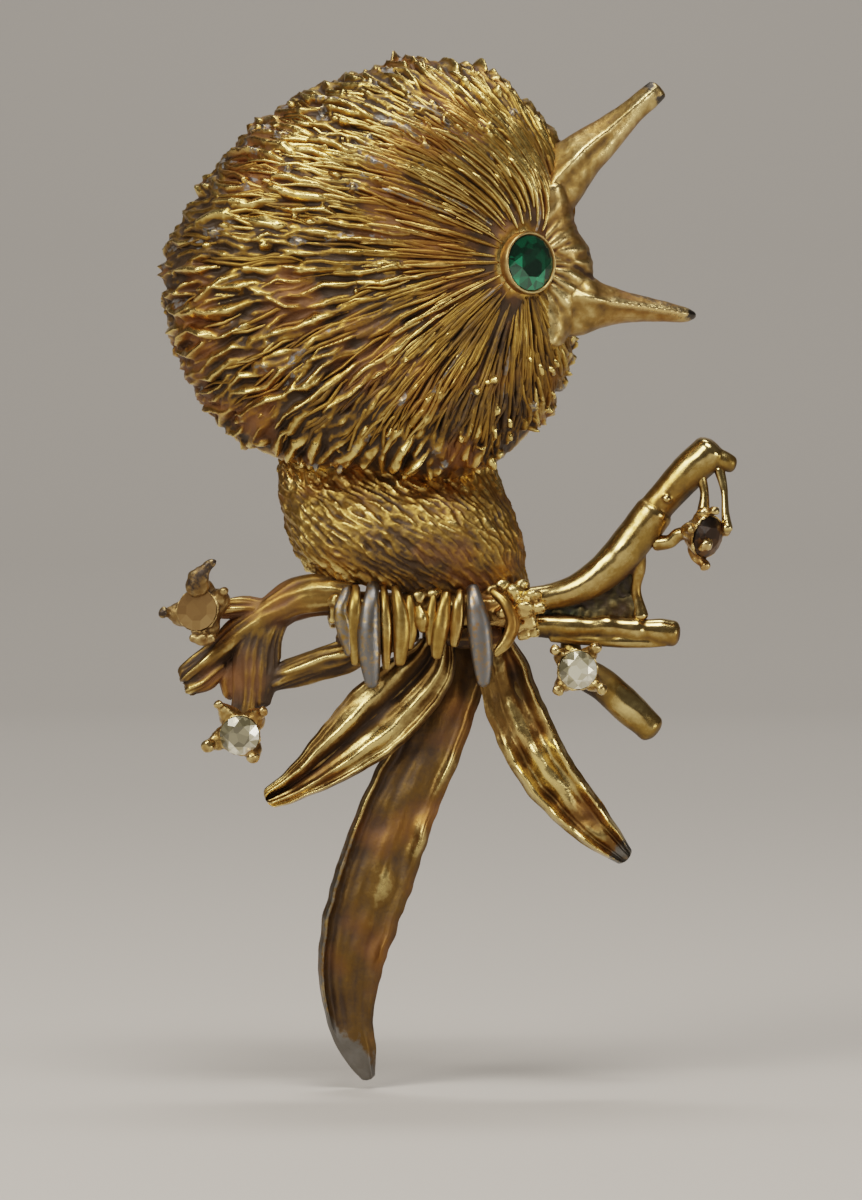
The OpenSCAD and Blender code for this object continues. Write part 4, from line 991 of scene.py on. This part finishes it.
# The right branches: a smooth shiny limb in two lengths that rises to a cut end, a short one below it with a
# buttress between them, a wire and a stem to the upper stone and a thick twig that hangs with the lower one.
limb_gilt = gilding("limb_gilt", (0.03, 0.015, 0.005), (0.30, 0.18, 0.045), (0.84, 0.63, 0.27),
                    shine=0.1, grain=0.06, copper=0.2)
right_limbs = {
    "right_rising_limb": ("right_upper_limb", [
        [(12.0, -6.0, -24.3, 0.85), (13.6, -6.0, -24.15, 0.95), (15.9, -6.1, -23.4, 1.15),
         (18.0, -6.3, -21.9, 1.36), (20.0, -6.4, -19.5, 1.45), (21.1, -6.5, -18.0, 1.42)],
        [(20.4, -6.4, -18.6, 1.1), (22.0, -6.5, -16.8, 1.26), (23.8, -6.6, -14.9, 1.36),
         (25.2, -6.6, -13.55, 1.38)],
        [(25.5, -6.9, -13.9, 0.75), (26.3, -7.0, -14.25, 0.7), (26.8, -7.0, -14.45, 0.62)],
        [(21.8, -7.6, -16.9, 0.25), (22.0, -7.7, -17.0, 0.3), (22.2, -7.6, -17.1, 0.25)],
        [(19.8, -6.2, -20.6, 0.8), (20.0, -6.1, -22.2, 0.55), (19.85, -6.0, -23.7, 0.42),
         (20.2, -6.0, -25.6, 0.6)]]),
    "right_level_limb": ("right_lower_limb", [
        [(12.0, -6.0, -26.3, 0.85), (13.6, -6.0, -26.35, 0.9), (15.0, -6.0, -26.4, 1.0),
         (16.3, -6.0, -26.45, 0.86), (17.6, -6.0, -26.45, 1.0), (18.6, -6.0, -26.5, 0.86),
         (19.8, -5.95, -26.6, 1.0), (20.5, -5.9, -26.65, 0.88), (21.6, -5.85, -26.75, 1.02),
         (22.6, -5.8, -26.85, 0.96)],
        [(13.6, -6.3, -27.2, 0.3), (17.0, -6.4, -27.4, 0.4), (20.0, -6.3, -27.5, 0.4),
         (22.0, -6.1, -27.6, 0.25)]]),
    "right_blossom_twig": ("right_flower_twig", [
        [(24.5, -7.0, -15.2, 0.5), (24.8, -7.2, -16.5, 0.36), (24.7, -7.4, -18.0, 0.48)],
        [(25.9, -7.0, -14.8, 0.4), (26.25, -7.3, -16.4, 0.28), (26.3, -7.8, -18.0, 0.28),
         (26.4, -8.2, -19.2, 0.4)],
        [(21.3, -6.5, -20.2, 0.6), (22.3, -7.0, -20.1, 0.5), (22.9, -7.3, -19.6, 0.5),
         (23.6, -7.6, -19.5, 0.5)]]),
    "right_drooping_twig": ("right_hanging_twig", [
        [(15.0, -5.2, -26.9, 0.6), (15.2, -5.8, -28.6, 0.9), (15.9, -6.3, -29.7, 1.15),
         (17.4, -6.4, -30.6, 1.2), (19.4, -6.35, -32.4, 1.22), (20.9, -6.35, -33.8, 1.1)]])}
# Spots of painted shade, the widest the shadow of the lower right blossom on the hanging twig, and a painted
# highlight low on that twig, in x and z with how wide
painted_shade_spots, painted_highlight_spot = ((23.5, -26.9, 0.6), (26.8, -14.4, 0.9), (16.3, -29.6, 2.2)), (19.2, -32.3, 1.6)


# The right limbs' tone: painted light, lighter where they face the front and where they face up, painted
# shade in the spots and a painted highlight low on the hanging twig
def smooth_relief(p, n):
    swells = clouds(*(p.T * 0.4)) + 0.3 * clouds(*(p.T * 1.1))
    dark = sum(dab(p, *spot) for spot in painted_shade_spots)
    tone = (0.22 + 0.34 * np.abs(n[:, 1]) + 0.22 * n[:, 2] + 0.12 * swells - 0.5 * dark
            + 0.3 * dab(p, *painted_highlight_spot))
    return 0.09 * swells, tone, 0 * dark


for name, (node, paths) in right_limbs.items():
    bm = new_mesh()
    for path in paths:
        rod(bm, spine(path, 12), around=28, ends=(0.5, 0.6))
    limb = cast(bm, name, limb_gilt, smooth_relief, soften=2)
    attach(limb, "brooch")
    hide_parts(node)

# The web: a thin flash of metal in the corner between the two right limbs, cast with them, never polished and
# gone green, and painted dark as painted shade of the hollow between the limbs.
verdigris_and_shade = gilding("verdigris_and_shade", (0.011, 0.012, 0.008), (0.033, 0.036, 0.022), (0.18, 0.14, 0.055),
                    shine=0.4, grain=0.8, copper=0.1)
web_y = -5.9
bm = new_mesh()
for path in ([(13.2, -24.8, 0.5), (16.3, -24.1, 0.9), (18.4, -23.2, 1.1), (19.5, -22.6, 0.8)],
             [(12.8, -25.2, 0.5), (16.0, -25.2, 0.8), (18.0, -24.9, 1.0), (19.5, -24.9, 0.9)]):
    rod(bm, spine([(x, web_y, z, r) for x, z, r in path], 10), around=28, flat=0.45)


# Rough pits over a dark green that is partly verdigris and partly painted shade
def web_relief(p, n):
    pits = clouds(*(p.T * 1.2)) + 0.6 * clouds(*(p.T * 2.6))
    return 0.18 * pits, 0.36 + 0.2 * pits, 0 * pits


web = cast(bm, "right_web", verdigris_and_shade, web_relief)
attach(web, "brooch")

# The blossoms: four small cast stars, each a cup with four thick claws that end in little balls and hold a
# stone. The claws of the upper left one are drawn out and bent, and its cup is dull with old cement.
claw_top = 1.85
# Each has its base, its axis, the stone's radius, the claws' radius at the root and, for each claw, the x, z
# and radius of its ball
blossoms = {
    "upper_left": ((-11.9, -7.1, -25.3), (-0.25, -1, 0.1), 1.5, 1.15,
                   [(-14.8, -25.35, 0.42), (-10.3, -23.7, 0.34), (-11.9, -27.2, 0.36), (-12.3, -23.3, 0.6)]),
    "lower_left": ((-9.1, -7.1, -34.0), (-0.05, -1, -0.18), 1.45, 0.95,
                   [(-10.7, -32.0, 0.34), (-7.45, -32.5, 0.4), (-11.5, -35.05, 0.5), (-8.2, -35.85, 0.5)]),
    "upper_right": ((23.9, -7.5, -19.41), (0.7, -0.72, -0.25), 1.5, 0.7,
                    [(26.4, -19.3, 0.45), (24.75, -21.9, 0.45), (23.65, -19.3, 0.36), (25.4, -17.9, 0.36)]),
    "lower_right": ((15.4, -7.3, -29.51), (0.05, -1, 0), 1.4, 0.8,
                    [(13.8, -28.05, 0.42), (16.75, -27.85, 0.42), (14.0, -30.95, 0.42),
                     (17.2, -30.85, 0.44)])}
# The cup's section, from under it over its edge to the seat: radius as a share of the stone's, and height
cup_rows = [(0, 0), (0.45, 0), (0.72, 0.05), (0.85, 0.5), (1.0, 1.05), (1.08, 1.45), (1.06, 1.6), (1.0, 1.62),
            (0.96, 1.5), (0.9, 1.35), (0, 1.3)]
dull_gilt = gilding("dull_gilt", (0.05, 0.027, 0.010), (0.24, 0.14, 0.05), (0.55, 0.38, 0.16),
                    grey=(0.06, 0.045, 0.035), shine=0.38, grain=0.35, copper=0.3)
bud_gilt = gilding("bud_gilt", (0.035, 0.017, 0.005), (0.32, 0.185, 0.055), (0.80, 0.59, 0.26),
                   shine=0.2, grain=0.2, copper=0.4)
bent_claw, dark_ball = ((-12.6, -23.2), (-10.9, -21.5)), (-14.8, -25.35)


# The bent claw and one ball of the upper left blossom are dark and worn
def bud_relief(p, n):
    rough = clouds(*(p.T * 1.2)) + 0.5 * clouds(*(p.T * 2.7))
    worn = np.maximum(streak(p, *bent_claw, 0.75), dab(p, *dark_ball, 0.6))
    return 0.12 * rough, 0.5 + 0.18 * rough, 0.75 * worn


for place, (base, axis, stone_r, root, tips) in blossoms.items():
    base, axis = np.array(base), unit(np.array(axis))
    right = unit(np.cross(axis, (0, 0, 1)))
    over = np.cross(right, axis)
    over *= np.sign(over[2])
    a = np.linspace(0, math.tau, 48, endpoint=False)
    r, h = (np.array(column)[:, None] for column in zip(*cup_rows))
    bm = new_mesh()
    skin(bm, base + axis * (h + 0 * a)[..., None] + right * (stone_r * r * np.cos(a))[..., None]
         + over * (stone_r * r * np.sin(a))[..., None])
    for x, z, ball in tips:
        dx, dz = x - base[0], z - base[2]
        out = np.array([dx, (claw_top - dx * axis[0] - dz * axis[2]) / axis[1], dz]) - axis * claw_top
        way_out = unit(out)
        rod(bm, spine([(*(base + axis * min(0.5, 1.35 - root) + way_out * 0.6), root),
                       (*(base + axis * min(0.95, 1.6 - 0.85 * root) + way_out * stone_r), root * 0.85),
                       (*(base + axis * 1.5 + out * 0.9), ball * 0.9),
                       (*(base + axis * claw_top + out), ball)], 6), around=20, ref=np.cross(axis, way_out))
    if place == "upper_left":
        rod(bm, spine([(-12.3, -8.7, -23.4, 0.85), (-12.1, -9.0, -22.7, 0.72), (-11.6, -9.1, -22.0, 0.42),
                       (-10.95, -9.1, -21.55, 0.14)], 8), around=20, flat=0.7)
        rod(bm, spine([(-12.6, -8.9, -27.2, 0.3), (-11.9, -9.0, -27.35, 0.36), (-11.2, -8.9, -27.2, 0.3)], 6),
            around=20)
    if place == "upper_right":
        rod(bm, spine([(24.6, -9.3, -20.6, 0.36), (24.8, -9.4, -20.4, 0.46), (25.0, -9.3, -20.2, 0.36)], 5),
            around=20)
    cup = cast(bm, "blossom_" + place, dull_gilt if place == "upper_left" else bud_gilt, bud_relief,
               voxel=0.08, soften=2)
    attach(cup, "brooch")
    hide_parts("setting_" + place)

# The blossoms' stones: small faceted pieces of clear glass. The two above have lost their foil and look
# brown and dull, the two below still sparkle. The facets of each are painted lighter towards the lower right,
# as painted light and painted glints.
stone_seat, stone_below = 1.6, 0.2
clear_glass = glass("clear_glass", (0.10, 0.085, 0.045), (0.40, 0.35, 0.21), (0.95, 0.92, 0.78), foil=0.35)
tan_glass = glass("tan_glass", (0.10, 0.05, 0.013), (0.15, 0.08, 0.024), (0.2, 0.115, 0.04),
                  coat=0.0, polish=0.4, rough=0.7, gloss=0.15, spread=0.12)
brown_glass = glass("brown_glass", (0.008, 0.004, 0.0015), (0.03, 0.014, 0.005), (0.12, 0.055, 0.015),
                    coat=0.05, polish=0.1, rough=0.35, foil=0.3, gloss=0.2)
stones = {"upper_left": (tan_glass, "aged_stone", 5, 0.45, 0.15),
          "lower_left": (clear_glass, "clear_stone", 8, 0.28, 0.5),
          "upper_right": (brown_glass, "aged_stone", 12, 0.3, 0.4),
          "lower_right": (clear_glass, "clear_stone", 15, 0.22, 0.5)}
for place, (material, slot, seed, painted_light, crown) in stones.items():
    base, axis, stone_r = blossoms[place][:3]
    axis = Vector(axis).normalized()
    gem = stone("gem_" + place, stone_r, (Vector(base) + axis * stone_seat) * mm, axis, crown, stone_below,
                material, seed, painted_light_side=(0.5, 0, -0.6), painted_light=painted_light)
    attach(gem, "brooch")
    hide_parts("stone_" + place)

# The tail: three cast feathers soldered under the perch, thin and slightly hollow, with rolled rims and a
# rib down the middle. Brown lacquer and painted shade lie in the hollows, painted highlights lie on the
# swellings and rims, and the long one's tip is rubbed grey.
long_root_y, long_half = -3.94, 2.9
left_root_x, right_root_x, side_root_z, left_half, right_half = 5.2, 9.6, -26.62, 2.05, 2.15
# Each feather's line from its root: x, how far forward, z, and the share of its half width there
long_line = [(7.2, 0, 0.9, 0.86), (6.7, 0, -3.4, 0.88), (4.7, 0.9, -9.6, 0.88), (2.65, 1.1, -14, 0.95),
             (1.05, 1.1, -18.4, 1), (-0.4, 0.9, -22.8, 0.96), (-1.2, 0.5, -26.5, 0.82),
             (-1.2, 0, -30.2, 0.6), (-0.5, -0.5, -32.8, 0.44), (0.1, -0.7, -34.5, 0.2)]
left_line = [(0, 0, 0, 0.5), (0, 0, -1, 0.66), (-0.9, 0, -3, 1.08), (-4.1, 0.1, -6.2, 1.34),
             (-7.3, 0.2, -9, 1.04), (-10.2, 0.3, -11.2, 0.62), (-12.1, 0.3, -12.25, 0.42)]
right_line = [(0, 0, 0, 0.5), (0, 0, -1, 0.62), (0.4, 0, -2.6, 0.86), (1.6, 0.2, -6.4, 1),
              (3.8, 0.4, -10.6, 0.96), (6.9, 0.5, -14.2, 0.74), (9.3, 0.5, -16.5, 0.36)]
tail_gilt = gilding("tail_gilt", (0.04, 0.02, 0.007), (0.165, 0.092, 0.027), (0.80, 0.58, 0.22),
                    grey=(0.14, 0.127, 0.11), shine=0.22, grain=0.3, copper=0.35)


# A feather round a line of x, y, z and half width. u runs across it, from one rim to the other, and `plain`
# says how far its ribs are smoothed out
def feather(name, node, stops, seed, front_of, worn_of, tone_of, plain, lumpy=0.2):
    line = spine(stops, 16)
    side, front, run = sides_of(line)
    end = run[-1, 0]
    u = np.cos(np.linspace(0, math.pi, 57))
    u = np.sign(u) * np.abs(u) ** 0.85
    ribs = clouds(u * 6 + seed, run * 0.22, 1) + 0.5 * clouds(u * 12 + seed, run * 0.4, 5)
    ribs *= 1 - plain(run, end)
    lumps = clouds(u * 1.5 + seed, run * 0.55, 11)
    roll = (1 - u ** 8) ** 0.5
    height = (front_of(u, run, end) + 0.08 * ribs + lumpy * lumps) * roll
    v = u[::-1][1:-1]
    grain = clouds(v * 4 + seed, run * 0.3, 21)
    back = (0.12 * grain - 0.5 + 0.1 * np.cos(v * math.pi / 2)) * (1 - v ** 6) ** 0.5
    across = np.concatenate([u, v])
    heights = np.concatenate([height, back], 1)
    wavy = line[:, 3:4] * (1 + 0.06 * clouds(np.sign(across) * 9 + seed, run * 0.8, 3))
    points = (line[:, None, :3] + side[:, None] * (wavy * across)[..., None]
              + front[:, None] * heights[..., None])
    # Paler where the feather stands higher: lacquer and painted shade lower down, a painted highlight on the
    # high parts
    tone = 0.36 + 0.42 * height + 0.12 * ribs + 0.1 * lumps + tone_of(u, run, end)
    tone = np.concatenate([tone, 0.5 + 0.3 * grain], 1)
    worn = np.concatenate([worn_of(u, run, end) + 0 * height, 0 * back], 1)
    bm = new_mesh()
    skin(bm, *capped(points, tone, worn, first=0.15, last=0.6 * line[-1, 3]))
    feather_piece = piece(bm, name, tail_gilt)
    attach(feather_piece, "brooch")
    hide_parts(node)


# The long feather: a broad trough, its left rim rolled over behind a groove darkened with painted shade, its
# tip a plain grey hook
def long_front(u, run, end):
    wave = 0.6 + 0.5 * hump(run, 13, 1.6) + 0.5 * hump(run, 18.4, 1.6) + 0.4 * hump(run, 27, 1.5)
    trough = (0.04 + 0.85 * hump(u, 0.87, 0.12) + 0.6 * wave * hump(u, -0.82, 0.16)
              - 0.16 * hump(u, 0.66, 0.1) + 0.2 * hump(u, -0.1, 0.26)
              + 0.26 * hump(u, -0.35, 0.2) * hump(run, 22.5, 1.8))
    return mix(trough, 0.45 * (1 - u * u) + 0.25 * hump(u, -0.5, 0.2), ease((run - end + 5.5) / 3))


def long_worn(u, run, end):
    ragged = 1.2 * clouds(u * 2.5, run * 0.7, 31)
    rim_worn = 0.6 * hump(u, 0.9, 0.2) * ease((run - 13) / 9)
    return rim_worn + 0.95 * ease((run - end + 4.2 + 2 * u + ragged) / 2.6)


# Painted highlights on the swellings of the right rim, on a patch right of the middle and on the left rim,
# and painted shade in the groove
def long_tone(u, run, end):
    spots = hump(run, 13, 1.4) + hump(run, 18.4, 1.4)
    return (-0.13 + 0.3 * spots * hump(u, -0.75, 0.25) + 0.25 * hump(u, -0.3, 0.25) * hump(run, 22.5, 1.6)
            + 0.12 * hump(u, 0.9, 0.12) - 0.16 * hump(u, 0.68, 0.1) * hump(run, 13, 7))


def long_plain(run, end):
    return ease((run - end + 6) / 3)


feather("long_feather", "tail_long",
        [(x, long_root_y - y, perch_z + z, long_half * w) for x, y, z, w in long_line],
        seed=3.0, front_of=long_front, worn_of=long_worn, tone_of=long_tone, plain=long_plain)


# The left feather: two swellings with painted highlights either side of a groove with painted shade, its tip
# in two gold lobes painted lighter
def left_front(u, run, end):
    return (0.06 + 0.62 * hump(u, 0.52, 0.24) + 0.72 * hump(u, -0.45, 0.22) + 0.5 * hump(u, -0.88, 0.1)
            + 0.3 * hump(u, 0.9, 0.1) - 0.5 * hump(u, 0.08, 0.1) + 0.15 * hump(u, -0.12, 0.08))


def never_worn(u, run, end):
    return 0 * u + 0 * run


# Painted highlights on the two swellings and the lower rim, a lighter tip, and painted shade in the groove
def left_tone(u, run, end):
    return (0.25 * hump(u, 0.5, 0.15) * hump(run, 0.55 * end, 2.5)
            + 0.25 * hump(u, -0.5, 0.3) * hump(run, 0.5 * end, 3)
            + 0.3 * hump(u, -0.88, 0.15) * ease((run / end - 0.4) / 0.2) + 0.3 * ease((run - end + 2) / 1)
            - 0.45 * hump(u, 0.08, 0.12))


def ribbed(run, end):
    return ease((run - end + 3) / 2)


feather("left_feather", "tail_left",
        [(left_root_x + x, perch_y - y, side_root_z + z, left_half * w) for x, y, z, w in left_line],
        seed=13.0, front_of=left_front, worn_of=never_worn, tone_of=left_tone, plain=ribbed, lumpy=0.4)


# The right feather: lumpy rims that thicken towards its small grey tip, both with painted highlights, and a
# painted highlight in a patch in the middle
def right_front(u, run, end):
    beads = 1 + 0.25 * np.sin(run * 1.9) + 0.2 * np.sin(run * 3.1 + 1)
    far = ease((run / end - 0.25) / 0.35)
    return (0.02 + 0.8 * beads * far * hump(u, 0.78, 0.2) + 0.75 * mix(1, beads, far) * hump(u, -0.78, 0.2)
            + 0.55 * hump(u, 0.05, 0.3) * hump(run, 0.55 * end, 3.5) - 0.2 * hump(u, 0.42, 0.12)
            - 0.2 * hump(u, -0.4, 0.12))


def right_worn(u, run, end):
    return 0.8 * ease((run - end + 1.2) / 0.7) + 0 * u


# Painted highlights on the middle patch and on the rims
def right_tone(u, run, end):
    far = ease((run / end - 0.3) / 0.3)
    return (0.08 + 0.4 * hump(run, 0.5 * end, 4) * hump(u, 0.05, 0.45) + 0.35 * far * hump(u, 0.78, 0.25)
            + 0.3 * far * hump(u, -0.78, 0.25))


feather("right_feather", "tail_right",
        [(right_root_x + x, perch_y - y, side_root_z + z, right_half * w) for x, y, z, w in right_line],
        seed=23.0, front_of=right_front, worn_of=right_worn, tone_of=right_tone, plain=ribbed, lumpy=0.45)


# The pin finding: a brass bar across the hollow head with ears and a rivet for the hinge, a steel-coloured
# pin, and a catch whose drum turns over the pin. They are bought parts, drawn or turned, soldered on.
def finding(name, dull, bright, shine):
    m, shader, add, link = surface(name)
    where = add("TexCoord").outputs["Object"]
    drawn = add("Mapping", {"Scale": (0.08, 1, 1)})
    link(where, drawn.inputs["Vector"])
    scratches = add("TexNoise", {"Scale": 4200, "Detail": 3})
    link(drawn.outputs["Vector"], scratches.inputs["Vector"])
    stain = add("TexNoise", {"Scale": 420, "Detail": 4})
    link(where, stain.inputs["Vector"])
    tone = ramp_of(add, (0.34, dull), (0.6, bright))
    link(stain.outputs["Fac"], tone.inputs["Fac"])
    link(tone.outputs["Color"], shader.inputs["Base Color"])
    shader.inputs["Metallic"].default_value = 1.0
    rough = add("MapRange", {"From Min": 0.35, "From Max": 0.6, "To Min": shine + 0.22, "To Max": shine})
    link(stain.outputs["Fac"], rough.inputs["Value"])
    link(rough.outputs["Result"], shader.inputs["Roughness"])
    bump = add("Bump", {"Strength": 0.25, "Distance": 0.05 * mm})
    link(scratches.outputs["Fac"], bump.inputs["Height"])
    link(bump.outputs["Normal"], shader.inputs["Normal"])
    return m


brass = finding("finding_brass", dull=(0.20, 0.12, 0.04), bright=(0.56, 0.39, 0.15), shine=0.24)
wire = finding("pin_wire", dull=(0.26, 0.21, 0.14), bright=(0.58, 0.52, 0.42), shine=0.2)
for node, material in (("pin_bar", brass), ("hinge_rivet", brass), ("catch_housing", brass),
                       ("catch_roller", brass), ("pin_stem", wire)):
    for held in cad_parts[node].material_slots:
        held.material = material

# The stage: the camera looks straight at the front from 36 cm away, the floor is a pale sweep of paper that
# rises behind, and five soft lamps stand round it.
sensor, subject_away, view_wide = 36, 0.350, 0.0882
camera = placed("camera", bpy.data.cameras.new("camera"))
bpy.context.scene.camera = camera
camera.location = (0.00478, -0.356, -0.0244)
camera.rotation_euler = (math.pi / 2, 0, 0)
camera.data.lens, camera.data.sensor_width = sensor * subject_away / view_wide, sensor
camera.data.clip_start, camera.data.clip_end = 0.01, 20

floor_z, floor_half = -0.0606, 4
floor_line = ((-4, 0), (1.2, 0), (1.6, 0.05), (1.9, 0.2), (2.1, 0.45), (2.2, 0.9), (2.2, 4))
bm = bmesh.new()
sweep = [bm.verts.new((-floor_half, y, z)) for y, z in floor_line]
strip = [bm.edges.new(pair) for pair in zip(sweep, sweep[1:])]
swept = bmesh.ops.extrude_edge_only(bm, edges=strip)["geom"]
far_side = [v for v in swept if isinstance(v, bmesh.types.BMVert)]
bmesh.ops.translate(bm, vec=(2 * floor_half, 0, 0), verts=far_side)
bmesh.ops.translate(bm, vec=(0, 0, floor_z), verts=bm.verts[:])
paper, shader, add, link = surface("paper")
shader.inputs["Base Color"].default_value = (0.50, 0.465, 0.425, 1)
shader.inputs["Roughness"].default_value = 0.85
floor = piece(bm, "floor", paper)


def lamp(name, place, target, power, size, colour):
    data = bpy.data.lights.new(name, "AREA")
    data.energy, data.shape, data.size, data.color = power, "DISK", size, colour
    obj = placed(name, data)
    obj.location = place
    obj.rotation_euler = (Vector(target) - Vector(place)).to_track_quat("-Z", "Y").to_euler()


on_brooch, on_wall, on_floor = (0.003, 0, -0.02), (0.0, 2.2, 0.1), (0.0, -2.6, 0.1)
lamp("key", (-0.33, -0.42, 0.30), on_brooch, power=2.9, size=0.32, colour=(1.0, 0.96, 0.90))
lamp("side", (0.45, -0.32, -0.05), on_brooch, power=1.0, size=0.25, colour=(1.0, 0.97, 0.94))
lamp("top", (0.06, -0.28, 0.55), on_brooch, power=2.2, size=0.3, colour=(1.0, 0.97, 0.93))
lamp("wall_wash", (0.0, 0.5, 1.6), on_wall, power=21.0, size=0.8, colour=(1.0, 0.98, 0.95))
lamp("floor_wash", (0.0, -0.9, 1.6), on_floor, power=21.0, size=0.8, colour=(1.0, 0.98, 0.95))
world = bpy.data.worlds.new("studio")
bpy.context.scene.world = world
world.use_nodes = True
world.node_tree.nodes["Background"].inputs["Color"].default_value = (0.60, 0.56, 0.50, 1)
world.node_tree.nodes["Background"].inputs["Strength"].default_value = 0.13
bpy.context.scene.view_settings.view_transform = "Filmic"
bpy.context.scene.view_settings.look = "Medium Contrast"
